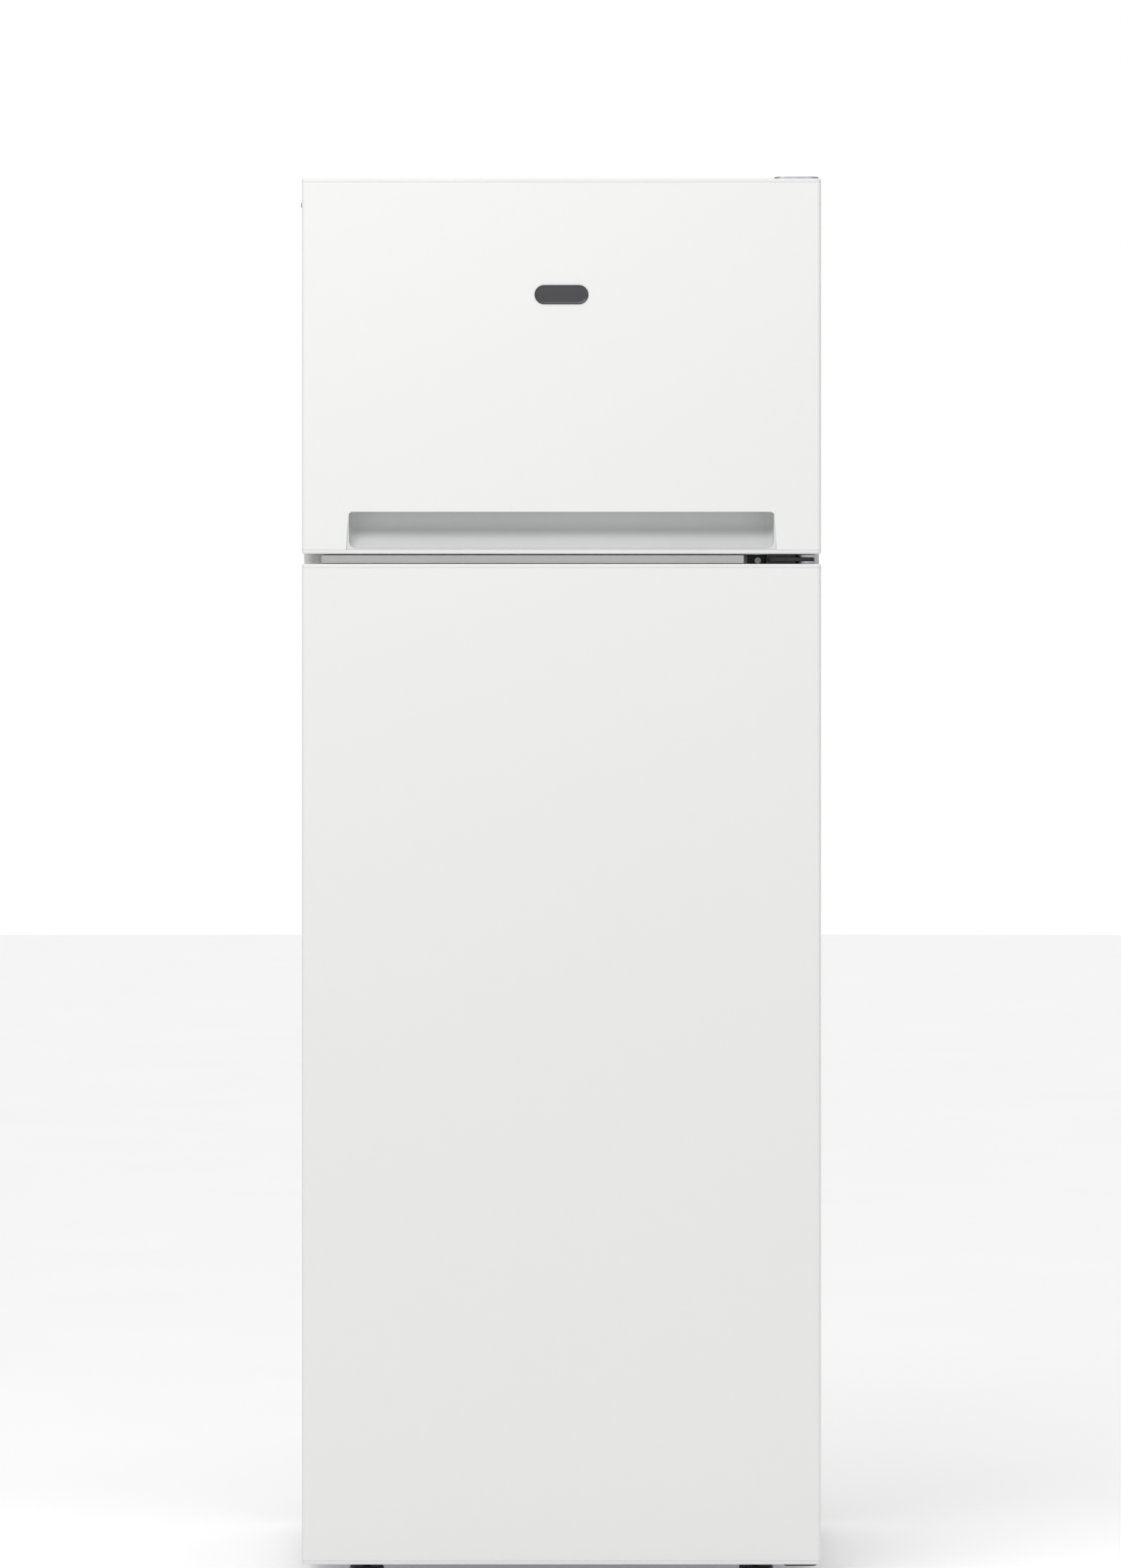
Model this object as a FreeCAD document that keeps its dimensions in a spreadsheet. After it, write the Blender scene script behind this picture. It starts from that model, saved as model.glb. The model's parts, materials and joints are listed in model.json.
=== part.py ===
import FreeCAD, Part
import math
import os

import Sketcher

# A two-door static refrigerator with the freezer on top, 540 mm wide, in millimetres.
# X points right, Y points to the back and Z up; the origin is under the middle of the
# footprint, on the floor. Both doors hang on the right-hand side.

Vector = FreeCAD.Vector
doc = FreeCAD.newDocument("TopFreezerRefrigerator")
sheet = doc.addObject("Spreadsheet::Sheet", "dims")


class Size:
    """A length that carries its number and the sheet expression it is worked out from."""

    def __init__(self, number, text):
        self.number = number
        self.text = text

    def join(self, other, sign, number):
        return Size(number, f"({self.text} {sign} {words(other)})")

    def __add__(self, other):
        return self.join(other, "+", self.number + plain(other))

    def __sub__(self, other):
        return self.join(other, "-", self.number - plain(other))

    def __mul__(self, other):
        return self.join(other, "*", self.number * plain(other))

    def __truediv__(self, other):
        return self.join(other, "/", self.number / plain(other))

    def __radd__(self, other):
        return size(other) + self

    def __rsub__(self, other):
        return size(other) - self

    def __rmul__(self, other):
        return self * other

    def __neg__(self):
        return Size(-self.number, f"(0 - {self.text})")


def plain(value):
    return value.number if isinstance(value, Size) else float(value)


def words(value):
    return value.text if isinstance(value, Size) else repr(float(value))


def size(value):
    return value if isinstance(value, Size) else Size(float(value), repr(float(value)))


def driving(alias, number):
    """Put one driving dimension in the sheet and hand it back as a Size."""
    driving.row += 1
    sheet.set(f"A{driving.row}", alias)
    sheet.set(f"B{driving.row}", str(number))
    sheet.setAlias(f"B{driving.row}", alias)
    return Size(float(number), f"dims.{alias}")


driving.row = 0

# Cabinet
cab_width = driving("cab_width", 540)
total_depth = driving("total_depth", 600)
cab_bottom = driving("cab_bottom", 30)
cab_top = driving("cab_top", 1459)
cover_thick = driving("cover_thick", 6)
condenser_space = driving("condenser_space", 30)
sheet_thick = driving("sheet_thick", 1.5)
liner_thick = driving("liner_thick", 2)
flange_width = driving("flange_width", 16)
fridge_wall = driving("fridge_wall", 45)
freezer_wall = driving("freezer_wall", 55)
fridge_floor = driving("fridge_floor", 90)
fridge_ceiling = driving("fridge_ceiling", 1036)
freezer_floor = driving("freezer_floor", 1096)
freezer_ceiling = driving("freezer_ceiling", 1404)
back_wall = driving("back_wall", 55)
machine_top = driving("machine_top", 215)
machine_front = driving("machine_front", 115)
wall_foam = driving("wall_foam", 38)
rail_inset = driving("rail_inset", 8)
foot_rail_drop = driving("foot_rail_drop", 12)
drain_x = driving("drain_x", 60)
drain_outer = driving("drain_outer", 8)
drain_inner = driving("drain_inner", 6)
drain_setback = driving("drain_setback", 20)
liner_round = driving("liner_round", 14)

# Evaporator plates
plate_thick = driving("plate_thick", 1.5)
fridge_plate_half = driving("fridge_plate_half", 170)
fridge_plate_low = driving("fridge_plate_low", 520)
fridge_plate_high = driving("fridge_plate_high", 960)
freezer_plate_half = driving("freezer_plate_half", 190)
freezer_plate_low = driving("freezer_plate_low", 1110)
freezer_plate_high = driving("freezer_plate_high", 1390)

# Doors
door_thick = driving("door_thick", 48)
seal_thick = driving("seal_thick", 12)
seal_gap = driving("seal_gap", 0.3)
seal_width = driving("seal_width", 14)
seal_inset = driving("seal_inset", 14)
door_low = driving("door_low", 20)
door_high = driving("door_high", 1462)
door_gap = driving("door_gap", 10.5)
door_split = driving("door_split", 1061)
cap_height = driving("cap_height", 4)
edge_round = driving("edge_round", 4)
pan_thick = driving("pan_thick", 2)
dike_depth = driving("dike_depth", 50)
dike_width = driving("dike_width", 17)
dike_drop = driving("dike_drop", 2)
dike_round = driving("dike_round", 4)
return_flange = driving("return_flange", 12)
swing_gap = driving("swing_gap", 10)
plug_radius = driving("plug_radius", 5)
side_plug_radius = driving("side_plug_radius", 2.5)
side_plug_height = driving("side_plug_height", 1.5)
side_plug_drop = driving("side_plug_drop", 26)
strip_setback = driving("strip_setback", 15)
strip_left = driving("strip_left", -250)
strip_right = driving("strip_right", 190)
strip_play = driving("strip_play", 1)

# Grip and nameplate
grip_half = driving("grip_half", 221)
grip_top = driving("grip_top", 1115)
grip_depth = driving("grip_depth", 34)
grip_wall = driving("grip_wall", 6)
grip_side_wall = driving("grip_side_wall", 8)
grip_head = driving("grip_head", 14)
grip_hook = driving("grip_hook", 10)
ramp_setback = driving("ramp_setback", 5)
ramp_round = driving("ramp_round", 9)
ramp_rise = driving("ramp_rise", 24)
grip_flare = driving("grip_flare", 3)
scoop_round = driving("scoop_round", 14)
badge_width = driving("badge_width", 56)
badge_height = driving("badge_height", 20)
badge_thick = driving("badge_thick", 1.2)
badge_level = driving("badge_level", 1341)

# Door racks
rack_wall = driving("rack_wall", 3)
rack_height = driving("rack_height", 62)
rack_reach = driving("rack_reach", 74)
slot_half = driving("slot_half", 22)
freezer_rack_low = driving("freezer_rack_low", 1126)
freezer_rack_high = driving("freezer_rack_high", 1262)
dairy_level = driving("dairy_level", 842)
dairy_height = driving("dairy_height", 58)
dairy_reach = driving("dairy_reach", 74)
lid_thick = driving("lid_thick", 2.5)
lid_pin = driving("lid_pin", 2)
lid_setback = driving("lid_setback", 6)
lid_rise = driving("lid_rise", 4)
egg_level = driving("egg_level", 560)
egg_left = driving("egg_left", -180)
egg_radius = driving("egg_radius", 15)
egg_tray_height = driving("egg_tray_height", 22)
bottle_level = driving("bottle_level", 118)
bottle_height = driving("bottle_height", 78)
bottle_reach = driving("bottle_reach", 102)
clip_half = driving("clip_half", 9)
clip_height = driving("clip_height", 14)
clip_wall = driving("clip_wall", 2)
finger_length = driving("finger_length", 70)
finger_height = driving("finger_height", 10)

# Shelves and drawer
rib_depth = driving("rib_depth", 12)
rib_height = driving("rib_height", 5)
shelf_front = driving("shelf_front", -130)
shelf_back = driving("shelf_back", 205)
shelf_levels = [driving(f"shelf_level_{name}", z)
                for name, z in (("low", 285), ("lower", 470), ("upper", 655), ("top", 840))]
rack_level = driving("rack_level", 1245)
bearer_radius = driving("bearer_radius", 3)
shelf_wire_radius = driving("shelf_wire_radius", 1.6)
shelf_play = driving("shelf_play", 4)
glass_thick = driving("glass_thick", 4)
trim_height = driving("trim_height", 12)
trim_depth = driving("trim_depth", 10)
crisper_half = driving("crisper_half", 208)
crisper_low = driving("crisper_low", 97)
drawer_wall = driving("drawer_wall", 2.5)
drawer_back = driving("drawer_back", 72)
drawer_front = driving("drawer_front", -108)
drawer_high = driving("drawer_high", 262)
drawer_round = driving("drawer_round", 12)
drawer_lip = driving("drawer_lip", 14)
lip_thick = driving("lip_thick", 4)
lip_drop = driving("lip_drop", 12)
runner_x = driving("runner_x", 145.6)
runner_half = driving("runner_half", 5)
drawer_lip_half = driving("drawer_lip_half", 120)

# Ice tray
ice_left = driving("ice_left", -150)
ice_front = driving("ice_front", -90)
ice_width = driving("ice_width", 110)
ice_length = driving("ice_length", 164)
ice_height = driving("ice_height", 32)
ice_floor = driving("ice_floor", 5)
ice_margin = driving("ice_margin", 8)
ice_web = driving("ice_web", 4)
ice_cell_width = driving("ice_cell_width", 45)
ice_cell_length = driving("ice_cell_length", 32)

# Control box and lamp
box_half = driving("box_half", 95)
box_front = driving("box_front", -180)
box_back = driving("box_back", -40)
box_low = driving("box_low", 994)
box_wall = driving("box_wall", 2.5)
box_front_wall = driving("box_front_wall", 8)
knob_x = driving("knob_x", -50)
knob_z = driving("knob_z", 1015)
knob_radius = driving("knob_radius", 16)
knob_depth = driving("knob_depth", 11)
groove_half = driving("groove_half", 1)
groove_depth = driving("groove_depth", 1.5)
shaft_radius = driving("shaft_radius", 3)
switch_x = driving("switch_x", 60)
switch_radius = driving("switch_radius", 4)
lens_left = driving("lens_left", -20)
lens_right = driving("lens_right", 70)
lens_front = driving("lens_front", -150)
lens_back = driving("lens_back", -70)
lens_drop = driving("lens_drop", 6)
lens_wall = driving("lens_wall", 1.5)
lamp_rise = driving("lamp_rise", 21)
bulb_radius = driving("bulb_radius", 11)
bulb_length = driving("bulb_length", 43)
bulb_round = driving("bulb_round", 9)
holder_reach = driving("holder_reach", 12)
holder_post_width = driving("holder_post_width", 14)
holder_post_half = driving("holder_post_half", 8)
thermostat_half = driving("thermostat_half", 18)
thermostat_depth = driving("thermostat_depth", 28)
thermostat_half_height = driving("thermostat_half_height", 15)
shaft_seat = driving("shaft_seat", 8)

# Hinges
hinge_inset = driving("hinge_inset", 14)
hinge_setback = driving("hinge_setback", 24)
pin_radius = driving("pin_radius", 4)
bush_radius = driving("bush_radius", 8)
pin_play = driving("pin_play", 0.05)
bush_height = driving("bush_height", 18)
bush_end = driving("bush_end", 2)
pin_end_gap = driving("pin_end_gap", 4)
plate_gap = driving("plate_gap", 0.5)
hinge_plate = driving("hinge_plate", 2.5)
hinge_plate_left = driving("hinge_plate_left", 222)
hinge_plate_right = driving("hinge_plate_right", 268)
hinge_plate_back = driving("hinge_plate_back", -190)
notch_play = driving("notch_play", 3)
cover_wall = driving("cover_wall", 2)
plate_screw_inset = driving("plate_screw_inset", 12)
plate_screw_setback = driving("plate_screw_setback", 16)
arm_thick = driving("arm_thick", 4)
arm_reach = driving("arm_reach", 42)
web_gap = driving("web_gap", 0.7)
bracket_inner = driving("bracket_inner", 24)
bracket_outer = driving("bracket_outer", 10)
bracket_step = driving("bracket_step", 8)
bracket_tail = driving("bracket_tail", 62)
wing_half = driving("wing_half", 13)
wing_reach = driving("wing_reach", 19)
screw_radius = driving("screw_radius", 2)
screw_head_radius = driving("screw_head_radius", 3.5)
screw_head_height = driving("screw_head_height", 0.5)
washer_radius = driving("washer_radius", 9.5)
middle_screw_far = driving("middle_screw_far", 50)
middle_screw_near = driving("middle_screw_near", 16)
middle_screw_rise = driving("middle_screw_rise", 8.5)
bottom_screw_inset = driving("bottom_screw_inset", 7)
bottom_screw_front = driving("bottom_screw_front", 20)
bottom_screw_back = driving("bottom_screw_back", 46)

# Feet and rollers
foot_x = driving("foot_x", 205)
foot_y = driving("foot_y", -205)
foot_radius = driving("foot_radius", 18)
foot_height = driving("foot_height", 9)
foot_edge_round = driving("foot_edge_round", 2)
foot_flute_radius = driving("foot_flute_radius", 2.2)
foot_plate_half = driving("foot_plate_half", 18)
foot_plate_thick = driving("foot_plate_thick", 3)
foot_sleeve_drop = driving("foot_sleeve_drop", 16)
stud_end_gap = driving("stud_end_gap", 1)
foot_flute_inset = driving("foot_flute_inset", 0.5)
stud_radius = driving("stud_radius", 4)
roller_radius = driving("roller_radius", 13)
roller_x = driving("roller_x", 225)
roller_y = driving("roller_y", 235)
roller_half = driving("roller_half", 9)
axle_half = driving("axle_half", 14)
fork_half = driving("fork_half", 13.5)
fork_ear = driving("fork_ear", 2.5)
fork_low = driving("fork_low", 6)
fork_depth_half = driving("fork_depth_half", 12)

# Compressor, condenser and pipes
tray_thick = driving("tray_thick", 2)
tray_side_height = driving("tray_side_height", 30)
pump_x = driving("pump_x", 115)
pump_y = driving("pump_y", 193)
case_half_x = driving("case_half_x", 92)
case_half_y = driving("case_half_y", 62)
case_low = driving("case_low", 46)
case_belt = driving("case_belt", 100)
case_high = driving("case_high", 168)
case_wall = driving("case_wall", 3)
case_side_round = driving("case_side_round", 54)
case_end_round = driving("case_end_round", 30)
mount_reach_x = driving("mount_reach_x", 72)
mount_reach_y = driving("mount_reach_y", 48)
mount_radius = driving("mount_radius", 9)
mount_neck_radius = driving("mount_neck_radius", 5)
rail_height = driving("rail_height", 3)
rail_half = driving("rail_half", 10)
saddle_half_x = driving("saddle_half_x", 40)
saddle_half_y = driving("saddle_half_y", 6)
motor_gap = driving("motor_gap", 14)
block_overhang = driving("block_overhang", 4)
block_inset = driving("block_inset", 14)
block_height = driving("block_height", 34)
relay_width = driving("relay_width", 34)
relay_half_depth = driving("relay_half_depth", 26)
relay_lift = driving("relay_lift", 18)
drip_tray_height = driving("drip_tray_height", 26)
drip_tray_wall = driving("drip_tray_wall", 3)
drip_left = driving("drip_left", 80)
drip_right = driving("drip_right", 60)
drip_front = driving("drip_front", 46)
drip_back = driving("drip_back", 40)
drain_gap = driving("drain_gap", 16)
tube_radius = driving("tube_radius", 2.5)
wire_radius = driving("wire_radius", 0.8)
coil_half = driving("coil_half", 215)
coil_low = driving("coil_low", 300)
coil_pitch = driving("coil_pitch", 62)
coil_standoff = driving("coil_standoff", 15)
bend_relief = driving("bend_relief", 0.5)
wire_overhang = driving("wire_overhang", 20)
wire_inset = driving("wire_inset", 36)
spacer_inset = driving("spacer_inset", 18)
spacer_half = driving("spacer_half", 4)
spacer_half_height = driving("spacer_half_height", 6)
bumper_outset = driving("bumper_outset", 20)
bumper_half = driving("bumper_half", 10)
bumper_drop = driving("bumper_drop", 70)
bumper_height = driving("bumper_height", 30)
pipe_reach = driving("pipe_reach", 40)
pipe_drop = driving("pipe_drop", 46)
pipe_side_reach = driving("pipe_side_reach", 26)
pipe_bend = driving("pipe_bend", 12)
suction_out = driving("suction_out", 9)
suction_step = driving("suction_step", 36)
suction_bend = driving("suction_bend", 3.9)
pipe_level_rise = driving("pipe_level_rise", 12)
drier_x = driving("drier_x", -60)
drier_y = driving("drier_y", 200)
drier_radius = driving("drier_radius", 9)
drier_length = driving("drier_length", 84)
drier_drop = driving("drier_drop", 120)
gland_x = driving("gland_x", -150)
gland_half = driving("gland_half", 22)
gland_height = driving("gland_height", 30)
gland_front_inset = driving("gland_front_inset", 34)
gland_back_inset = driving("gland_back_inset", 2)
gland_radius = driving("gland_radius", 4)

# Places that follow from them
half_width = cab_width / 2
door_front = -(total_depth / 2)
door_back = door_front + door_thick
cab_front = door_back + seal_thick
wall_side = total_depth / 2
cab_back = wall_side - condenser_space
cab_inside = half_width - sheet_thick
fridge_half = half_width - fridge_wall
freezer_half = half_width - freezer_wall
liner_back = cab_back - back_wall
hinge_x = half_width - hinge_inset
hinge_y = door_front + hinge_setback
freezer_low = door_split + door_gap
front_skin = (cab_front, cab_front + sheet_thick)
foot_rail_top = fridge_floor - foot_rail_drop
rail_bottom = fridge_ceiling + rail_inset
rail_top = freezer_floor - rail_inset
gap_middle = (door_split + freezer_low) / 2
hump_front = machine_front - wall_foam
hump_top = machine_top + wall_foam
drain_place = (drain_x, liner_back - drain_setback)
fridge_plate = ((-fridge_plate_half, fridge_plate_half), (fridge_plate_low, fridge_plate_high))
freezer_plate = ((-freezer_plate_half, freezer_plate_half),
                 (freezer_plate_low, freezer_plate_high))
skin_front = door_front + sheet_thick
pan_front = door_back - sheet_thick
dike_back = door_back + dike_depth
grip_low = freezer_low + cap_height
grip_block_half = grip_half + grip_side_wall
grip_block_top = grip_top + grip_head
grip_block_back = door_front + grip_depth + grip_wall
lid_axis_y = door_back + lid_setback
lid_axis_z = dairy_level + dairy_height + lid_rise
lens_x = (lens_left, lens_right)
lens_y = (lens_front, lens_back)
arm_left = hinge_x - arm_reach
arm_low = gap_middle - arm_thick / 2
arm_high = gap_middle + arm_thick / 2
pin_reach = bush_height - pin_end_gap
hinge_plate_x = (hinge_plate_left, hinge_plate_right)
middle_screws = ((hinge_x - middle_screw_far, gap_middle),
                 (hinge_x - middle_screw_near, gap_middle + middle_screw_rise))
top_screws = [(x, hinge_plate_back - plate_screw_setback)
              for x in (hinge_plate_left + plate_screw_inset,
                        hinge_plate_right - plate_screw_inset)]
bottom_screws = [(hinge_x - bottom_screw_inset, cab_front + reach)
                 for reach in (bottom_screw_front, bottom_screw_back)]
mount_places = [(pump_x + x, pump_y + y) for x in (-mount_reach_x, mount_reach_x)
                for y in (-mount_reach_y, mount_reach_y)]
coil_y = cab_back + coil_standoff
coil_rows = 18
coil_wires = 19


# ---------------------------------------------------------------- building helpers

# How near counts as touching a plane, and how far a cutter runs past what it cuts
CLOSE = 1e-3
PAST = 1


def bind(target, path, value):
    target.setExpression(path, words(value))


def new_body(label):
    body = doc.addObject("PartDesign::Body", label)
    body.Label = label
    return body


def new_sketch(body, plane, offset):
    """A sketch on one of the body's origin planes, moved along that plane's normal."""
    sketch = body.newObject("Sketcher::SketchObject", body.Label + "_sketch")
    role = plane + "_Plane"
    support = [part for part in body.Origin.OriginFeatures if part.Role == role][0]
    sketch.AttachmentSupport = [(support, "")]
    sketch.MapMode = "FlatFace"
    bind(sketch, "AttachmentOffset.Base.z", -offset if plane == "XZ" else offset)
    return sketch


# How sketch constraints name the sketch's origin and the points of an edge
ORIGIN = -1
START_POINT = 1
END_POINT = 2
CENTRE_POINT = 3


def pin_point(sketch, geometry, end, point):
    """Tie one sketch point to the origin with two dimensions read from the sheet."""
    for kind, value in zip(("DistanceX", "DistanceY"), point):
        tie = Sketcher.Constraint(kind, ORIGIN, START_POINT, geometry, end, plain(value))
        index = sketch.addConstraint(tie)
        bind(sketch, f"Constraints[{index}]", value)


def add_polygon(sketch, points):
    first = sketch.GeometryCount
    flat = [Vector(plain(u), plain(v), 0) for u, v in points]
    count = len(points)
    for i in range(count):
        sketch.addGeometry(Part.LineSegment(flat[i], flat[(i + 1) % count]), False)
    for i in range(count):
        after = first + (i + 1) % count
        sketch.addConstraint(
            Sketcher.Constraint("Coincident", first + i, END_POINT, after, START_POINT))
        pin_point(sketch, first + i, START_POINT, points[i])


def add_rectangle(sketch, u, v):
    add_polygon(sketch, [(u[0], v[0]), (u[1], v[0]), (u[1], v[1]), (u[0], v[1])])


def add_circle(sketch, centre, radius):
    flat = Vector(plain(centre[0]), plain(centre[1]), 0)
    index = sketch.addGeometry(Part.Circle(flat, Vector(0, 0, 1), plain(radius)), False)
    pin_point(sketch, index, CENTRE_POINT, centre)
    number = sketch.addConstraint(Sketcher.Constraint("Radius", index, plain(radius)))
    bind(sketch, f"Constraints[{number}]", radius)


def extrude(body, kind, sketch, length, towards_plus):
    feature = body.newObject("PartDesign::" + kind, f"{body.Label}_{kind.lower()}")
    feature.Profile = sketch
    bind(feature, "Length", length)
    normal_is_plus = sketch.AttachmentSupport[0][0].Role != "XZ_Plane"
    if kind == "Pocket":
        normal_is_plus = not normal_is_plus
    feature.Reversed = towards_plus != normal_is_plus
    sketch.Visibility = False
    return feature


AXES = {"X": ("YZ", 0), "Y": ("XZ", 1), "Z": ("XY", 2)}


def split_spans(spans, along):
    """The span along the extrusion, and the two that lie in the sketch."""
    plane, index = AXES[along]
    return plane, spans[index], [spans[i] for i in range(3) if i != index]


def pad_box(body, x, y, z, along="Z"):
    plane, run, (u, v) = split_spans((x, y, z), along)
    sketch = new_sketch(body, plane, run[0])
    add_rectangle(sketch, u, v)
    return extrude(body, "Pad", sketch, run[1] - run[0], True)


def pocket_box(body, x, y, z, along="Z"):
    plane, run, (u, v) = split_spans((x, y, z), along)
    sketch = new_sketch(body, plane, run[0])
    add_rectangle(sketch, u, v)
    return checked_pocket(body, sketch, run[1] - run[0])


def checked_pocket(body, sketch, length):
    doc.recompute()
    before = body.Shape.Volume
    pocket = extrude(body, "Pocket", sketch, length, True)
    doc.recompute()
    if body.Shape.Volume > before - CLOSE:
        raise ValueError(f"{pocket.Label} cuts nothing")
    return pocket


def pad_outline(body, along, run, points):
    sketch = new_sketch(body, AXES[along][0], run[0])
    add_polygon(sketch, points)
    return extrude(body, "Pad", sketch, run[1] - run[0], True)


def pocket_outline(body, along, run, points):
    sketch = new_sketch(body, AXES[along][0], run[0])
    add_polygon(sketch, points)
    return checked_pocket(body, sketch, run[1] - run[0])


def pad_round(body, along, run, centre, radius):
    sketch = new_sketch(body, AXES[along][0], run[0])
    add_circle(sketch, centre, radius)
    return extrude(body, "Pad", sketch, run[1] - run[0], True)


def drill(body, along, run, centre, radius):
    sketch = new_sketch(body, AXES[along][0], run[0])
    add_circle(sketch, centre, radius)
    return checked_pocket(body, sketch, run[1] - run[0])


def round_edges(body, radius, wanted, kind="Fillet"):
    """Fillet or chamfer the edges of the body's tip that the test picks."""
    doc.recompute()
    base = body.Tip
    names = [f"Edge{i + 1}" for i, edge in enumerate(base.Shape.Edges) if wanted(edge)]
    if not names:
        raise ValueError(f"{body.Label} has no such edges to round")
    feature = body.newObject("PartDesign::" + kind, f"{body.Label}_{kind.lower()}")
    feature.Base = (base, names)
    bind(feature, "Radius" if kind == "Fillet" else "Size", radius)
    doc.recompute()
    return feature


def edge_run(edge):
    box = edge.BoundBox
    return box.XLength, box.YLength, box.ZLength


def runs_along(axis, **limits):
    """A test for straight edges along one axis whose middle lies within the limits."""
    index = "XYZ".index(axis)

    def wanted(edge):
        lengths = edge_run(edge)
        side = [lengths[i] for i in range(3) if i != index]
        if lengths[index] < CLOSE or max(side) > CLOSE:
            return False
        centre = edge.BoundBox.Center
        for key, (low, high) in limits.items():
            if not plain(low) - CLOSE <= getattr(centre, key) <= plain(high) + CLOSE:
                return False
        return True

    return wanted


def lies_at(**places):
    """A test for edges that lie flat in a plane such as z=12."""

    def wanted(edge):
        box = edge.BoundBox
        for key, value in places.items():
            low = getattr(box, key.upper() + "Min")
            high = getattr(box, key.upper() + "Max")
            if abs(low - plain(value)) > CLOSE or abs(high - plain(value)) > CLOSE:
                return False
        return True

    return wanted


def box(x, y, z):
    part = doc.addObject("Part::Box", "Block")
    for side, axis, span in zip(("Length", "Width", "Height"), "xyz", (x, y, z)):
        bind(part, side, size(span[1]) - span[0])
        bind(part, f"Placement.Base.{axis}", span[0])
    return part


TURN = {"X": (Vector(0, 1, 0), 90), "Y": (Vector(1, 0, 0), -90), "Z": (Vector(0, 0, 1), 0)}


def rod(along, run, centre, radius):
    """A cylinder along one axis; centre holds the other two coordinates in order."""
    part = doc.addObject("Part::Cylinder", "Rod")
    bind(part, "Radius", radius)
    bind(part, "Height", size(run[1]) - run[0])
    axis, angle = TURN[along]
    part.Placement.Rotation = FreeCAD.Rotation(axis, angle)
    index = "XYZ".index(along)
    place = list(centre)
    place.insert(index, run[0])
    for key, value in zip("xyz", place):
        bind(part, f"Placement.Base.{key}", value)
    return part


def cut(label, base, tool):
    part = doc.addObject("Part::Cut", label)
    part.Label = label
    part.Base = base
    part.Tool = tool
    return part


def fuse(label, parts):
    whole = doc.addObject("Part::MultiFuse", label)
    whole.Label = label
    whole.Shapes = parts
    whole.Refine = True
    return whole


def group(label, parts):
    """Separate solids that share one node."""
    whole = doc.addObject("Part::Compound", label)
    whole.Label = label
    whole.Links = parts
    return whole


def tube_path(points, bend):
    """A wire of straight runs joined by tangent arcs of one radius."""
    edges = []
    start = points[0]
    for before, corner, after in zip(points, points[1:], points[2:]):
        inward = (before - corner).normalize()
        outward = (after - corner).normalize()
        half_angle = inward.getAngle(outward) / 2
        reach = bend / math.tan(half_angle)
        first = corner + inward * reach
        last = corner + outward * reach
        middle_way = (inward + outward).normalize()
        centre = corner + middle_way * (bend / math.sin(half_angle))
        middle = centre - middle_way * bend
        edges.append(Part.LineSegment(start, first).toShape())
        edges.append(Part.Arc(first, middle, last).toShape())
        start = last
    edges.append(Part.LineSegment(start, points[-1]).toShape())
    return Part.Wire(edges)


def tube(points, radius, bend):
    """A round bar swept along straight runs and arcs, as one solid."""
    corners = [Vector(*[plain(value) for value in point]) for point in points]
    path = tube_path(corners, plain(bend))
    start = corners[0]
    profile = Part.Wire(Part.makeCircle(plain(radius), start, corners[1] - start))
    solid = path.makePipeShell([profile], True, False)
    bar = doc.addObject("Part::Feature", "Tube")
    bar.Shape = solid
    return bar


nodes = []


def finish(part):
    """Count a finished piece among those that are written out."""
    nodes.append(part)
    return part


# ---------------------------------------------------------------- cabinet

def cabinet_shell():
    """Painted steel wrapper: two sides and the top, with a lip turned in at the front."""
    body = new_body("cabinet_shell")
    pad_box(body, (-half_width, half_width), (cab_front, cab_back), (cab_bottom, cab_top))
    lip = half_width - flange_width
    lip_top = cab_top - flange_width
    pocket_box(body, (-cab_inside, cab_inside), (cab_front + sheet_thick, cab_back),
               (cab_bottom, cab_top - sheet_thick))
    pocket_box(body, (-lip, lip), front_skin, (cab_bottom, lip_top))
    round_edges(body, edge_round, runs_along("Y", z=(cab_top, cab_top)))
    return finish(body)


def back_panel():
    """Flat galvanised sheet behind the foam."""
    body = new_body("back_panel")
    pad_box(body, (-cab_inside, cab_inside), (cab_back - sheet_thick, cab_back),
            (machine_top + sheet_thick, cab_top - sheet_thick), "Y")
    return finish(body)


def bottom_panel():
    """Formed sheet under the foam that steps up over the machine space."""
    body = new_body("bottom_panel")
    low = cab_bottom
    high = machine_top
    front = cab_front + sheet_thick
    points = [(front, low), (machine_front, low), (machine_front, high),
              (cab_back, high), (cab_back, high + sheet_thick),
              (machine_front - sheet_thick, high + sheet_thick),
              (machine_front - sheet_thick, low + sheet_thick), (front, low + sheet_thick)]
    pad_outline(body, "X", (-cab_inside, cab_inside), points)
    drill(body, "Z", (high - PAST, high + sheet_thick + PAST), drain_place, drain_outer)
    return finish(body)


def front_rails():
    """Rails across the front, and the strip that stands in the gap between the doors."""
    body = new_body("middle_rail")
    reach = half_width - flange_width
    pad_box(body, (-reach, reach), front_skin, (rail_bottom, rail_top), "Y")
    for place in middle_screws:
        drill(body, "Y", (cab_front - PAST, cab_front + PAST * 3), place, screw_radius)
    low_rail = box((-reach, reach), front_skin, (cab_bottom, foot_rail_top))
    half_strip = door_gap / 2 - strip_play
    strip = box((strip_left, strip_right), (door_front + strip_setback, cab_front),
                (gap_middle - half_strip, gap_middle + half_strip))
    return finish(group("front_rails", [body, low_rail, strip]))


def liner(label, half, side_profile, flange_low, flange_high):
    """A formed plastic tub, open at the front, with a flange against the cabinet's face."""
    body = new_body(label)
    outside, inside = side_profile
    pad_outline(body, "X", (-half - liner_thick, half + liner_thick), outside)
    reach = half_width - flange_width
    pad_box(body, (-reach, reach), front_skin, (flange_low, flange_high), "Y")
    pocket_outline(body, "X", (-half, half), inside)
    return body


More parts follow.
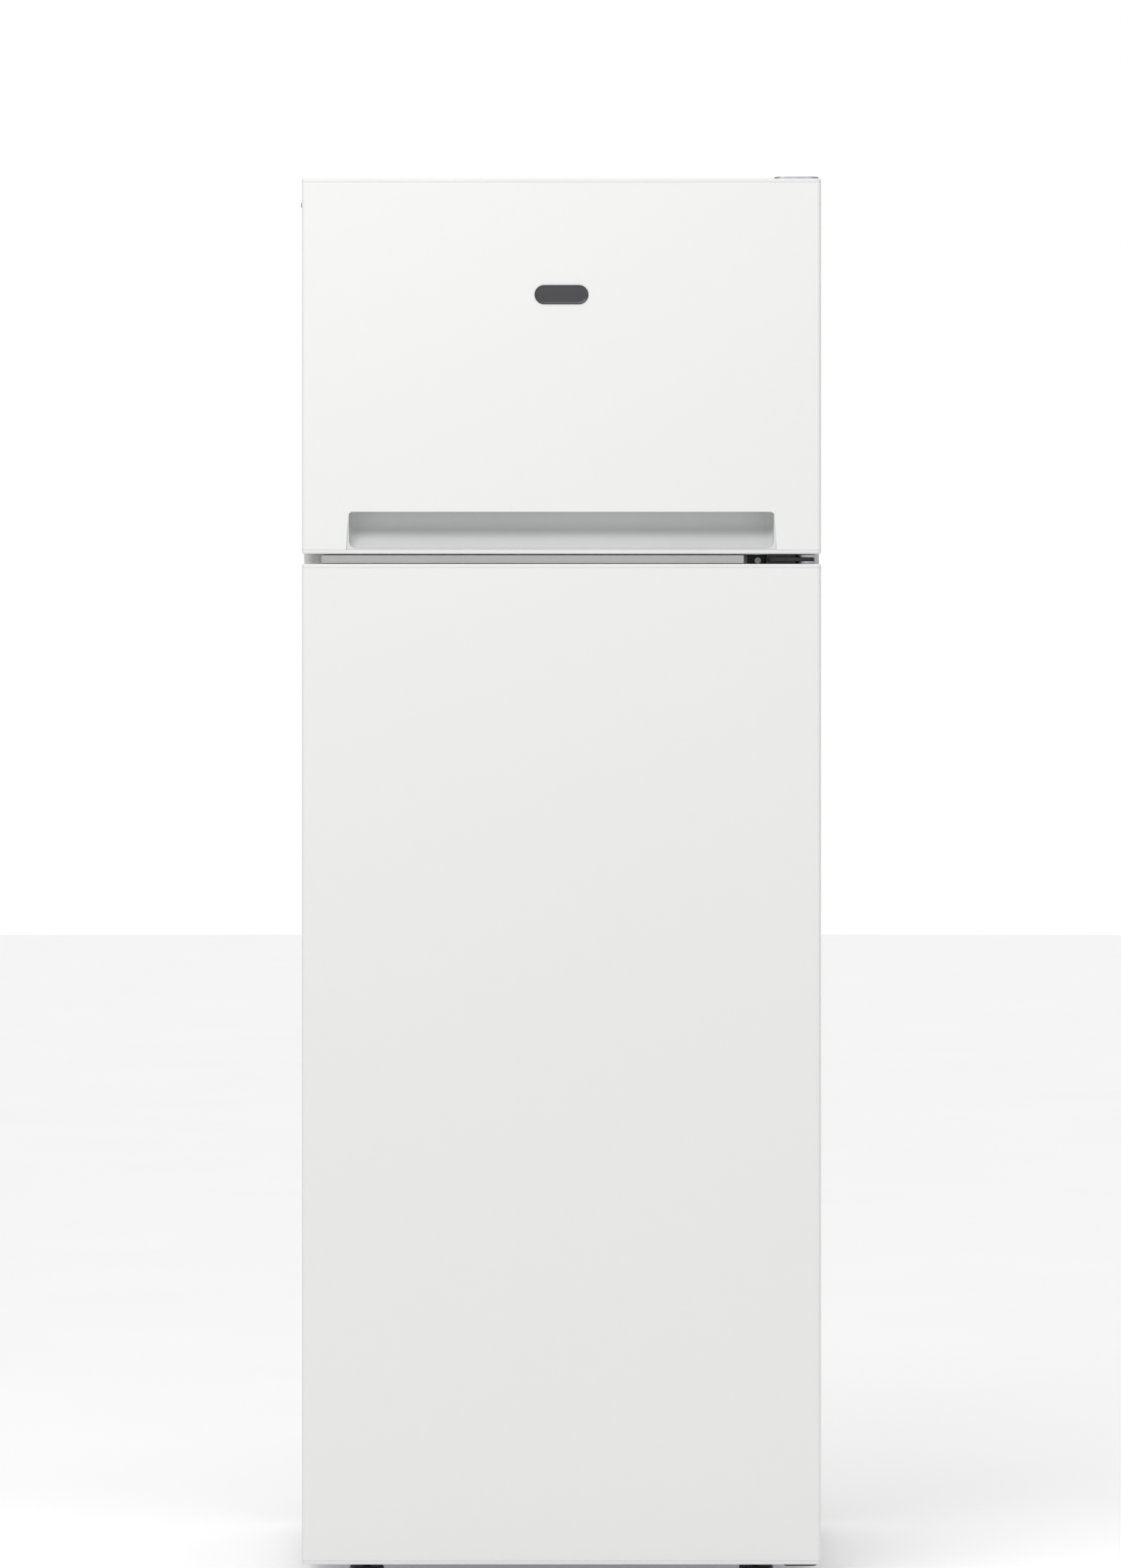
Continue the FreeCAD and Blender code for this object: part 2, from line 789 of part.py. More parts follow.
def ribs(body, half, levels, front, back):
    """Pairs of ledges along the side walls that carry the shelves."""
    sketch = new_sketch(body, "XZ", front)
    for level in levels:
        for side in (-1, 1):
            wall = half * side
            tip = (half - rib_depth) * side
            span = (wall, tip) if side < 0 else (tip, wall)
            add_rectangle(sketch, span, (level - rib_height, level))
    extrude(body, "Pad", sketch, size(back) - front, True)


def fridge_side(front, grow):
    """Side outline of the fridge tub, which steps up over the machine space."""
    floor = fridge_floor - grow
    step = (hump_front + grow, hump_top - grow)
    back = liner_back + grow
    ceiling = fridge_ceiling + grow
    return [(front, floor), (step[0], floor), step, (back, step[1]), (back, ceiling),
            (front, ceiling)]


def freezer_side(front, grow):
    """Side outline of the freezer tub."""
    floor = freezer_floor - grow
    back = liner_back + grow
    ceiling = freezer_ceiling + grow
    return [(front, floor), (back, floor), (back, ceiling), (front, ceiling)]


def fridge_liner():
    """Fridge tub with ledges for the shelves and two runners for the drawer."""
    outside = fridge_side(cab_front, liner_thick)
    inside = fridge_side(cab_front, size(0))
    body = liner("fridge_liner", fridge_half, (outside, inside), foot_rail_top, rail_bottom)
    round_edges(body, liner_round, liner_corner(fridge_half, liner_back))
    ribs(body, fridge_half, shelf_levels, shelf_front, liner_back)
    sketch = new_sketch(body, "XZ", shelf_front)
    for side in (-1, 1):
        middle = runner_x * side
        add_rectangle(sketch, (middle - runner_half, middle + runner_half),
                      (fridge_floor, crisper_low - seal_gap))
    extrude(body, "Pad", sketch, hump_front - shelf_front, True)
    drill(body, "Z", (hump_top - liner_thick - PAST, hump_top + PAST), drain_place,
          drain_outer)
    return finish(body)


def liner_corner(half, back):
    """The tub's inner upright corners at the back wall."""
    return runs_along("Z", x=(-half, half), y=(back, back))


def freezer_liner():
    """Freezer tub with one pair of ledges for the wire shelf."""
    outside = freezer_side(cab_front, liner_thick)
    inside = freezer_side(cab_front, size(0))
    body = liner("freezer_liner", freezer_half, (outside, inside), rail_top,
                 cab_top - flange_width)
    round_edges(body, liner_round, liner_corner(freezer_half, liner_back))
    ribs(body, freezer_half, [rack_level], shelf_front, liner_back)
    return finish(body)


def evaporators():
    """Roll-bond aluminium plates held against the backs of the liners by the foam."""
    start = liner_back + liner_thick
    return finish(group("evaporators", [
        box(x, (start, start + plate_thick), z) for x, z in (fridge_plate, freezer_plate)]))


def cabinet_foam():
    """Foam that fills the cabinet between the shell and the two tubs."""
    body = new_body("cabinet_foam")
    front = cab_front + sheet_thick
    back = cab_back - sheet_thick
    low = cab_bottom + sheet_thick
    step = machine_front - sheet_thick
    step_top = machine_top + sheet_thick
    top = cab_top - sheet_thick
    points = [(front, low), (step, low), (step, step_top), (back, step_top), (back, top),
              (front, top)]
    pad_outline(body, "X", (-cab_inside, cab_inside), points)
    round_edges(body, edge_round - sheet_thick, runs_along("Y", z=(top, top)))
    for half, outline in ((fridge_half, fridge_side), (freezer_half, freezer_side)):
        reach = half + liner_thick
        pocket_outline(body, "X", (-reach, reach), outline(front, liner_thick))
    start = liner_back + liner_thick
    for x, z in (fridge_plate, freezer_plate):
        pocket_box(body, x, (start, start + plate_thick), z, "Y")
    drill(body, "Z", (machine_top, hump_top), drain_place, drain_outer)
    return finish(body)


def top_cover():
    """Worktop tray that caps the cabinet."""
    body = new_body("top_cover")
    high = cab_top + cover_thick
    pad_box(body, (-half_width, half_width), (cab_front, cab_back), (cab_top, high))
    round_edges(body, edge_round, runs_along("Z"))
    round_edges(body, cover_thick / 3, lies_at(z=high))
    pocket_box(body, (hinge_plate_left - notch_play, half_width),
               (cab_front, hinge_plate_back + notch_play), (cab_top, high))
    return finish(body)


# ---------------------------------------------------------------- doors

class Door:
    """The sizes of one door: its height span, the opening it closes and its seal."""

    def __init__(self, name, low, high, half, floor, ceiling, seal_low, seal_high):
        self.name = name
        self.low = low
        self.high = high
        self.core = (low + cap_height, high - cap_height)
        self.dike_half = half - swing_gap
        self.dike = (floor + swing_gap, ceiling - swing_gap - dike_drop)
        self.seal = (seal_low, seal_high)


freezer_door = Door("freezer_door", freezer_low, door_high, freezer_half, freezer_floor,
                    freezer_ceiling, freezer_low + swing_gap, door_high - swing_gap)
fridge_door = Door("fridge_door", door_low, door_split, fridge_half, fridge_floor,
                   fridge_ceiling, cab_bottom + swing_gap * 2, door_split - swing_gap)


def door_panel(door):
    """Painted steel skin: the front, both sides and a narrow return at the back."""
    body = new_body(door.name + "_panel")
    pad_box(body, (-half_width, half_width), (door_front, door_back), door.core)
    pocket_box(body, (-cab_inside, cab_inside), (skin_front, pan_front), door.core)
    open_half = half_width - return_flange
    pocket_box(body, (-open_half, open_half), (pan_front, door_back), door.core)
    round_edges(body, edge_round, front_upright(half_width, door_front))
    return body


def front_upright(half, front):
    """A test for the two upright edges at the front of a door's layer."""

    def wanted(edge):
        centre = edge.BoundBox.Center
        at_side = abs(abs(centre.x) - plain(half)) < CLOSE
        return at_side and abs(centre.y - plain(front)) < CLOSE and runs_along("Z")(edge)

    return wanted


def dike_ring(body, door, inset, front, back):
    """The raised rib that runs round the inside of a door, as a pad or a pocket."""
    outer = door.dike_half - inset
    inner = door.dike_half - dike_width + inset
    low, high = door.dike
    sketch = new_sketch(body, "XZ", front)
    add_rectangle(sketch, (-outer, outer), (low + inset, high - inset))
    rim = dike_width - inset
    add_rectangle(sketch, (-inner, inner), (low + rim, high - rim))
    return sketch, back - front


def door_liner(door):
    """Formed inner panel with the hollow rib that stiffens it and carries the racks."""
    body = new_body(door.name + "_liner")
    open_half = half_width - return_flange
    pad_box(body, (-open_half, open_half), (pan_front, door_back), door.core, "Y")
    sketch, length = dike_ring(body, door, size(0), door_back, dike_back)
    extrude(body, "Pad", sketch, length, True)
    round_edges(body, dike_round, lies_at(y=dike_back))
    sketch, length = dike_ring(body, door, pan_thick, pan_front, dike_back - pan_thick)
    checked_pocket(body, sketch, length)
    return finish(body)


def door_foam(door, holes):
    """Foam core of a door, with sockets for the pivot bushes."""
    body = new_body(door.name + "_foam")
    pad_box(body, (-cab_inside, cab_inside), (skin_front, pan_front), door.core)
    sketch, length = dike_ring(body, door, pan_thick, pan_front, dike_back - pan_thick)
    extrude(body, "Pad", sketch, length, True)
    for span in holes:
        drill(body, "Z", span, (hinge_x, hinge_y), bush_radius)
    return body


def door_cap(label, span, lip):
    """Moulded plastic end cap; lip is the height of its outer, rounded rim."""
    body = new_body(label)
    pad_box(body, (-half_width, half_width), (door_front, door_back), span)
    round_edges(body, edge_round, front_upright(half_width, door_front))
    round_edges(body, cap_height / 2, lies_at(z=lip))
    past_both = (span[0] - PAST, span[1] + PAST)
    drill(body, "Z", past_both, (hinge_x, hinge_y), bush_radius)
    drill(body, "Z", past_both, (-hinge_x, hinge_y), plug_radius)
    return body


def door_gasket(door):
    """Magnetic seal: a wide lip on a narrower bellows, all round the door."""
    body = new_body(door.name + "_gasket")
    low, high = door.seal
    outer = half_width - seal_inset
    neck = seal_width / 5
    inner = outer - seal_width
    lip_front = cab_front - seal_thick / 3
    for start, end, inset in ((door_back, lip_front, neck),
                              (lip_front, cab_front - seal_gap, size(0))):
        sketch = new_sketch(body, "XZ", start)
        out = outer - inset
        add_rectangle(sketch, (-out, out), (low + inset, high - inset))
        rim = seal_width - inset
        hole = inner + inset
        add_rectangle(sketch, (-hole, hole), (low + rim, high - rim))
        extrude(body, "Pad", sketch, end - start, True)
    return finish(body)


def bush(low, high, hole):
    """A pivot bush with its blind hole."""
    sleeve = rod("Z", (low, high), (hinge_x, hinge_y), bush_radius)
    bore = rod("Z", hole, (hinge_x, hinge_y), pin_radius + pin_play)
    return cut("Bush", sleeve, bore)


def door_bushes(door, extra):
    """Pivot bushes on the right, and blanking plugs in the unused holes on the left."""
    low, high = door.low, door.high
    blind = bush_height - bush_end
    bushes = [bush(low, low + bush_height, (low - PAST, low + blind)),
              bush(high - bush_height, high, (high - blind, high + PAST))]
    plugs = [rod("Z", span, (-hinge_x, hinge_y), plug_radius)
             for span in ((low, low + cap_height), (high - cap_height, high))]
    return finish(group(door.name + "_bushes", bushes + plugs + extra))


def common_door_pieces(door, plugs):
    """Everything the two doors share; the skin and foam are handed back for more cuts."""
    finish(group(door.name + "_caps", [
        door_cap("bottom_cap", (door.low, door.core[0]), door.low),
        door_cap("top_cap", (door.core[1], door.high), door.high)]))
    door_liner(door)
    door_gasket(door)
    door_bushes(door, plugs)
    holes = ((door.core[0] - PAST, door.low + bush_height),
             (door.high - bush_height, door.core[1] + PAST))
    return door_panel(door), door_foam(door, holes)


def freezer_door_parts():
    """The freezer door, whose skin is notched over a grip at its bottom edge."""
    panel, foam = common_door_pieces(freezer_door, [side_plug()])
    top = grip_half
    bottom = grip_half + grip_flare
    below = grip_low - PAST
    pocket_outline(panel, "Y", (door_front - PAST, skin_front + PAST),
                   [(-bottom, below), (bottom, below), (top, grip_top), (-top, grip_top)])
    round_edges(panel, edge_round, notch_corners)
    finish(panel)
    pocket_box(foam, (-grip_block_half, grip_block_half), (skin_front, grip_block_back),
               (grip_low, grip_block_top))
    round_edges(foam, edge_round - sheet_thick, front_upright(cab_inside, skin_front))
    finish(foam)
    freezer_grip()
    badge()
    finish(group("freezer_door_racks", [
        door_rack("freezer_rack", freezer_door, level, rack_height, rack_reach, ())
        for level in (freezer_rack_low, freezer_rack_high)]))


def notch_corners(edge):
    """The two short edges at the top of the notch in the freezer door's skin."""
    centre = edge.BoundBox.Center
    return (runs_along("Y", z=(grip_top, grip_top))(edge)
            and centre.y < plain(skin_front))


def freezer_grip():
    """Moulded scoop let into the bottom of the freezer door, open to the front."""
    body = new_body("freezer_door_grip")
    pad_box(body, (-grip_block_half, grip_block_half), (skin_front, grip_block_back),
            (grip_low, grip_block_top))
    back = door_front + grip_depth
    front = skin_front - PAST
    low = grip_low + sheet_thick
    hook = grip_top + grip_hook
    ramp_front = skin_front + ramp_setback
    ramp_top = low + ramp_rise
    pocket_outline(body, "X", (-grip_half, grip_half), [
        (front, low), (ramp_front, low), (back, ramp_top), (back, hook), (front, hook)])
    round_edges(body, scoop_round, runs_along("X", z=(ramp_top, ramp_top), y=(back, back)))
    round_edges(body, ramp_round, runs_along("X", z=(low, low), y=(ramp_front, ramp_front)))
    round_edges(body, edge_round, runs_along("X", z=(hook, hook), y=(back, back)))
    round_edges(body, edge_round * 2, scoop_ends)
    return finish(body)


def scoop_ends(edge):
    """The edges where the scoop's end walls meet its back and its ramp."""
    spread = edge.BoundBox
    at_end = abs(abs(spread.Center.x) - plain(grip_half)) < CLOSE and spread.XLength < CLOSE
    inside = spread.YMax > plain(skin_front) + PAST
    below_hook = spread.Center.z < plain(grip_top) + plain(edge_round) * 2
    return at_end and inside and below_hook


def badge():
    """Blank oval nameplate on the freezer door."""
    body = new_body("badge")
    half = badge_width / 2
    low = badge_level - badge_height / 2
    pad_box(body, (-half, half), (door_front - badge_thick, door_front),
            (low, low + badge_height), "Y")
    round_edges(body, badge_height * 0.495, runs_along("Y"))
    return finish(body)


def side_plug():
    """Small plug in the free edge of the freezer door."""
    place = (hinge_y, freezer_door.high - side_plug_drop)
    return rod("X", (-half_width - side_plug_height, -half_width), place, side_plug_radius)


# Slots in the front of a rack: where they stand, and their foot and height as shares of it
SLOT_STEPS = (-2, -1, 0, 1, 2)
SLOT_PITCHES = 2.6
SLOT_FOOT = 0.45
SLOT_SHARE = 0.22


def door_rack(label, door, level, height, reach, slot_steps):
    """A moulded tray that hangs between the ribs of a door, slotted in front or plain."""
    body = new_body(label)
    half = door.dike_half - dike_width
    back = door_back + reach
    pad_box(body, (-half, half), (door_back, back), (level, level + height))
    round_edges(body, dike_round * 2, runs_along("Z", y=(back, back)))
    pocket_box(body, (-half + rack_wall, half - rack_wall),
               (door_back + rack_wall, back - rack_wall),
               (level + rack_wall, level + height))
    slot_low = level + height * SLOT_FOOT
    slot_high = slot_low + height * SLOT_SHARE
    slot_pitch = half / SLOT_PITCHES
    for step in slot_steps:
        centre = slot_pitch * step
        pocket_box(body, (centre - slot_half, centre + slot_half),
                   (back - rack_wall - PAST, back + PAST), (slot_low, slot_high), "Y")
    return body


def fridge_door_parts():
    """The fridge door with its dairy box, egg rack and bottle rack."""
    panel, foam = common_door_pieces(fridge_door, [])
    finish(panel)
    round_edges(foam, edge_round - sheet_thick, front_upright(cab_inside, skin_front))
    finish(foam)
    dairy_box()
    dairy_lid()
    finish(group("fridge_door_racks", [
        door_rack("egg_rack", fridge_door, egg_level, rack_height, rack_reach, SLOT_STEPS),
        door_rack("bottle_rack", fridge_door, bottle_level, bottle_height, bottle_reach,
                  SLOT_STEPS)]))
    egg_tray()
    bottle_retainer()


def dairy_box():
    """Open box on the fridge door, with a lug at each end for the lid's pins."""
    body = new_body("dairy_box")
    half = fridge_door.dike_half - dike_width
    back = door_back + dairy_reach
    top = dairy_level + dairy_height
    pad_box(body, (-half, half), (door_back, back), (dairy_level, top))
    lug_back = lid_axis_y + lid_setback
    lug_top = lid_axis_z + lid_pin * 2.5
    pad_box(body, (-half, half), (door_back, lug_back), (top, lug_top))
    pocket_box(body, (-half + rack_wall, half - rack_wall),
               (door_back + rack_wall, back - rack_wall), (dairy_level + rack_wall, top))
    pocket_box(body, (-half + rack_wall, half - rack_wall), (door_back, lug_back),
               (top, lug_top))
    drill(body, "X", (-half, half), (lid_axis_y, lid_axis_z), lid_pin + pin_play)
    return finish(body)


def dairy_lid():
    """See-through flap over the dairy box, with a stub pin at each end."""
    body = new_body("dairy_lid")
    inner = fridge_door.dike_half - dike_width - rack_wall - seal_gap
    outer = inner + rack_wall
    front = door_back + dairy_reach + seal_gap
    low = lid_axis_z - lid_thick / 2
    pad_box(body, (-inner, inner), (lid_axis_y - lid_pin, front + lid_thick),
            (low, low + lid_thick))
    drop = dairy_height / 2
    pad_box(body, (-inner, inner), (front, front + lid_thick), (low - drop, low))
    round_edges(body, lid_thick / 2, runs_along("X", z=(low + lid_thick, low + lid_thick),
                                                y=(front, front + lid_thick)))
    pad_round(body, "X", (-outer, outer), (lid_axis_y, lid_axis_z), lid_pin)
    return finish(body)


def egg_tray():
    """Loose tray of egg cups that stands in the egg rack."""
    body = new_body("egg_tray")
    front = door_back + rack_wall + 1
    low = egg_level + rack_wall
    high = low + egg_tray_height
    web = 2
    pitch = egg_radius * 2 + web
    columns = 3
    rows = 2
    pad_box(body, (egg_left, egg_left + pitch * columns + web),
            (front, front + pitch * rows + web), (low, high))
    round_edges(body, edge_round, runs_along("Z"))
    for column in range(columns):
        for row in range(rows):
            place = (egg_left + pitch * (column + 0.5) + web / 2,
                     front + pitch * (row + 0.5) + web / 2)
            drill(body, "Z", (low + rack_wall, high), place, egg_radius)
    return finish(body)


def bottle_retainer():
    """Sliding finger that straddles the front wall of the bottle rack."""
    body = new_body("bottle_retainer")
    wall_back = door_back + bottle_reach
    wall_front = wall_back - rack_wall
    top = bottle_level + bottle_height
    low = top - clip_height
    play = seal_gap
    pad_box(body, (-clip_half, clip_half),
            (wall_front - play - clip_wall, wall_back + play + clip_wall),
            (low, top + play + clip_wall))
    pocket_box(body, (-clip_half, clip_half), (wall_front - play, wall_back + play),
               (low, top + play))
    root = wall_front - play - clip_wall
    pad_box(body, (-clip_half / 3, clip_half / 3), (root - finger_length, root),
            (low, low + finger_height))
    return finish(body)


# ---------------------------------------------------------------- inside the fridge

def glass_shelves():
    """Glass plates on the wall ledges, each with moulded trims at its front and back."""
    half = fridge_half - shelf_play
    trim_half = fridge_half - rib_depth - 1
    proud = 1
    plates = []
    trims = []
    for level in shelf_levels:
        back = hump_front if level is shelf_levels[0] else shelf_back
        top = level + glass_thick
        plates.append(box((-half, half), (shelf_front, back), (level, top)))
        for front, rear in ((shelf_front - trim_depth, shelf_front),
                            (back, back + trim_depth / 2)):
            trims.append(box((-trim_half, trim_half), (front, rear),
                             (top - trim_height, top + proud)))
    finish(group("glass_shelves", plates))
    finish(group("shelf_trims", trims))


def crisper():
    """See-through vegetable drawer with a turned-out front lip to pull."""
    body = new_body("crisper_drawer")
    half = crisper_half
    wall = drawer_wall
    corner = drawer_round
    floor = crisper_low + wall
    pad_box(body, (-half, half), (drawer_front, drawer_back), (crisper_low, drawer_high))
    round_edges(body, corner, runs_along("Z"))
    round_edges(body, corner * 2 / 3, lies_at(z=crisper_low))
    pocket_box(body, (-half + corner, half - corner), (drawer_front + wall, drawer_back - wall),
               (floor, drawer_high))
    pocket_box(body, (-half + wall, half - wall), (drawer_front + corner, drawer_back - corner),
               (floor + corner / 2, drawer_high))
    lip = (-drawer_lip_half, drawer_lip_half)
    lip_front = drawer_front - drawer_lip
    lip_low = drawer_high - lip_thick
    pad_box(body, lip, (lip_front, drawer_front), (lip_low, drawer_high))
    pad_box(body, lip, (lip_front, lip_front + lip_thick * 0.75),
            (lip_low - lip_drop, lip_low))
    return finish(body)


def control_box():
    """Housing under the ceiling that holds the thermostat, the lamp and its switch."""
    body = new_body("control_box")
    pad_box(body, (-box_half, box_half), (box_front, box_back), (box_low, fridge_ceiling))
    round_edges(body, box_front_wall, runs_along("Z"))
    wall_back = box_front + box_front_wall
    pocket_box(body, (-box_half + box_wall, box_half - box_wall),
               (wall_back, box_back - box_front_wall), (box_low + box_wall, fridge_ceiling))
    pocket_box(body, lens_x, lens_y, (box_low, box_low + box_wall))
    drill(body, "Y", (box_front, wall_back), (knob_x, knob_z), shaft_radius + pin_play)
    drill(body, "Y", (box_front, wall_back), (switch_x, knob_z), switch_radius + pin_play)
    return finish(body)


def lamp():
    """The lamp's milky cover, its bulb and the holder that hangs from the ceiling."""
    cover = new_body("lamp_cover")
    low = box_low - lens_drop
    rim = box_low + box_wall
    pad_box(cover, lens_x, lens_y, (low, rim))
    round_edges(cover, lens_wall * 2, lies_at(z=low))
    pocket_box(cover, (lens_left + lens_wall, lens_right - lens_wall),
               (lens_front + lens_wall, lens_back - lens_wall), (low + lens_wall, rim))
    finish(cover)
    middle = ((lens_front + lens_back) / 2, box_low + lamp_rise)
    bulb = new_body("lamp_bulb")
    bulb_end = lens_left + holder_reach + bulb_length
    pad_round(bulb, "X", (lens_left + holder_reach, bulb_end), middle, bulb_radius)
    round_edges(bulb, bulb_round, lies_at(x=bulb_end))
    finish(bulb)
    holder = new_body("lamp_holder")
    holder_left = lens_left - holder_reach
    pad_round(holder, "X", (holder_left, lens_left + holder_reach), middle, bulb_radius + 1)
    pad_box(holder, (holder_left, holder_left + holder_post_width),
            (middle[0] - holder_post_half, middle[0] + holder_post_half),
            (middle[1], fridge_ceiling))
    finish(holder)


def thermostat():
    """Metal thermostat case fixed behind the control box's front wall."""
    body = new_body("thermostat")
    front = box_front + box_front_wall
    pad_box(body, (knob_x - thermostat_half, knob_x + thermostat_half),
            (front, front + thermostat_depth),
            (knob_z - thermostat_half_height, knob_z + thermostat_half_height))
    drill(body, "Y", (front, front + shaft_seat), (knob_x, knob_z), shaft_radius + pin_play)
    return finish(body)


def thermostat_knob():
    """Turning knob with its shaft and a groove that marks the setting."""
    body = new_body("thermostat_knob")
    back = box_front - seal_gap
    face = back - knob_depth
    shaft_end = box_front + box_front_wall + shaft_seat - 2
    pad_round(body, "Y", (face, back), (knob_x, knob_z), knob_radius)
    round_edges(body, knob_radius / 8, lies_at(y=face))
    pad_round(body, "Y", (back, shaft_end), (knob_x, knob_z), shaft_radius)
    pocket_box(body, (knob_x - groove_half, knob_x + groove_half),
               (face, face + groove_depth), (knob_z + knob_radius / 4, knob_z + knob_radius))
    return finish(body)


def light_switch():
    """Spring plunger that the closed fridge door holds in."""
    body = new_body("light_switch")
    tip = dike_back + seal_gap
    pad_round(body, "Y", (tip, box_front + box_front_wall * 2), (switch_x, knob_z),
              switch_radius)
    round_edges(body, switch_radius / 2, lies_at(y=tip))
    finish(body)


def freezer_rack():
    """Wire shelf: two bearers across and a row of thinner wires on them."""
    half = freezer_half - shelf_play
    inset = 8
    rows = (shelf_front + inset, (shelf_front + shelf_back) / 2, shelf_back - inset)
    wires = [rod("X", (-half, half), (y, rack_level + bearer_radius), bearer_radius)
             for y in rows]
    top = rack_level + bearer_radius * 2
    count = 17
    for i in range(count):
        x = -half + inset + (half * 2 - inset * 2) * i / (count - 1)
        wires.append(rod("Y", (shelf_front, shelf_back), (x, top), shelf_wire_radius))
    return finish(fuse("freezer_wire_shelf", wires))


def ice_tray():
    """Loose tray of eight ice cells on the freezer's floor."""
    body = new_body("ice_tray")
    low = freezer_floor
    high = low + ice_height
    pad_box(body, (ice_left, ice_left + ice_width), (ice_front, ice_front + ice_length),
            (low, high))
    round_edges(body, ice_margin, runs_along("Z"))
    columns = 2
    rows = 4
    for column in range(columns):
        for row in range(rows):
            x = ice_left + ice_margin + (ice_cell_width + ice_web) * column
            y = ice_front + ice_margin + 1 + (ice_cell_length + ice_web * 1.5) * row
            pocket_box(body, (x, x + ice_cell_width), (y, y + ice_cell_length),
                       (low + ice_floor, high))
    return finish(body)


# ---------------------------------------------------------------- hinges and feet

def top_hinge():
    """Plate on the cabinet's top with a pivot pin that points down into the door."""
    body = new_body("top_hinge")
    low = door_high + plate_gap
    front = hinge_y - pin_radius * 3
    pad_box(body, hinge_plate_x, (front, hinge_plate_back), (low, low + hinge_plate))
    round_edges(body, pin_radius * 2.5, runs_along("Z", y=(front, front)))
    pad_box(body, hinge_plate_x, (cab_front + arm_thick, hinge_plate_back), (cab_top, low))
    pad_round(body, "Z", (door_high - pin_reach, low), (hinge_x, hinge_y), pin_radius)
    for place in top_screws:
        drill(body, "Z", (cab_top, low + hinge_plate), place, screw_radius)
    finish(body)


def middle_hinge():
    """Black arm in the gap between the doors, screwed to the mid rail, pins both ways."""
    body = new_body("middle_hinge")
    plate_front = cab_front - hinge_plate
    arm_front = hinge_y - pin_radius * 2
    pad_box(body, (arm_left, hinge_x + pin_radius * 2), (arm_front, plate_front),
            (arm_low, arm_high))
    round_edges(body, pin_radius * 1.75, runs_along("Z", y=(arm_front, arm_front)))
    web = door_gap / 2 - web_gap
    pad_box(body, (arm_left, hinge_x - pin_radius * 3), (hinge_y - pin_radius, plate_front),
            (gap_middle - web, gap_middle + web))
    pad_box(body, (arm_left - wing_reach, hinge_x + pin_radius / 2), (plate_front, cab_front),
            (gap_middle - wing_half, gap_middle + wing_half), "Y")
    for place in middle_screws:
        drill(body, "Y", (plate_front, cab_front), place, screw_radius)
    pad_round(body, "Z", (arm_high, freezer_low + pin_reach), (hinge_x, hinge_y), pin_radius)
    pad_round(body, "Z", (door_split - pin_reach, arm_low), (hinge_x, hinge_y), pin_radius)
    finish(body)


def bottom_hinge():
    """Stepped bracket under the cabinet with a pivot pin that points up."""
    body = new_body("bottom_hinge")
    high = door_low - plate_gap
    low = high - hinge_plate
    across = (hinge_x - bracket_inner, hinge_x + bracket_outer)
    front = hinge_y - bracket_outer
    step = cab_front - bracket_step
    pad_box(body, across, (front, step), (low, high))
    round_edges(body, pin_radius * 2, runs_along("Z", y=(front, front)))
    pad_box(body, across, (step, step + hinge_plate), (low, cab_bottom))
    pad_box(body, across, (step + hinge_plate, cab_front + bracket_tail),
            (cab_bottom - hinge_plate, cab_bottom))
    for place in bottom_screws:
        drill(body, "Z", (cab_bottom - hinge_plate, cab_bottom), place, screw_radius)
    pad_round(body, "Z", (high, door_low + pin_reach), (hinge_x, hinge_y), pin_radius)
    finish(body)


def hinge_cover():
    """Low plastic cover that fills the notch in the worktop over the top hinge."""
    body = new_body("hinge_cover")
    low = door_high + plate_gap + hinge_plate
    high = low + cover_wall
    play = plate_gap
    pad_box(body, (hinge_plate_left - cover_wall, half_width - play * 2),
            (cab_front + play * 2, hinge_plate_back + cover_wall), (cab_top, high))
    round_edges(body, cover_wall, lies_at(z=high))
    pocket_box(body, (hinge_plate_left - play, hinge_plate_right + play),
               (cab_front, hinge_plate_back + play), (cab_top, low + play))
    finish(body)


def screw(along, face, sign, centre, depth):
    """A pan-head screw; its head stands off the face on the side the sign gives."""
    head_end = face + screw_head_height * sign
    tip = face - depth * sign
    head_run = (face, head_end) if sign > 0 else (head_end, face)
    shank_run = (tip, face) if sign > 0 else (face, tip)
    return fuse("Screw", [rod(along, head_run, centre, screw_head_radius),
                          rod(along, shank_run, centre, screw_radius)])


def washer(low, high):
    """Ring that keeps a door off its hinge."""
    ring = rod("Z", (low, high), (hinge_x, hinge_y), washer_radius)
    bore = rod("Z", (low - PAST, high + PAST), (hinge_x, hinge_y), pin_radius)
    return cut("Washer", ring, bore)


def hinge_screws():
    """Screws of the three hinges and the washers of the middle one."""
    parts = [washer(door_split + plate_gap, arm_low),
             washer(arm_high, freezer_low - plate_gap)]
    middle_depth = hinge_plate + sheet_thick
    top_face = door_high + plate_gap + hinge_plate
    parts += [screw("Y", cab_front - hinge_plate, -1, place, middle_depth)
              for place in middle_screws]
    parts += [screw("Z", top_face, 1, place, top_face - cab_top) for place in top_screws]
    parts += [screw("Z", cab_bottom - hinge_plate, -1, place, hinge_plate)
              for place in bottom_screws]
    return finish(group("hinge_screws", parts))


def front_foot(name, side):
    """Levelling foot: a wide pad on a stud that turns in its plate."""
    body = new_body(name)
    centre = (foot_x * side, foot_y)
    pad_round(body, "Z", (size(0), foot_height), centre, foot_radius)
    round_edges(body, foot_edge_round, lies_at(z=foot_height))
    grips = 6
    reach = foot_radius - foot_flute_inset
    for i in range(grips):
        angle = math.tau * i / grips
        place = (centre[0] + reach * math.cos(angle), centre[1] + reach * math.sin(angle))
        drill(body, "Z", (size(PAST), foot_height), place, foot_flute_radius)
    stud_end = cab_bottom - foot_plate_thick - stud_end_gap
    pad_round(body, "Z", (foot_height, stud_end), centre, stud_radius)
    return finish(body)


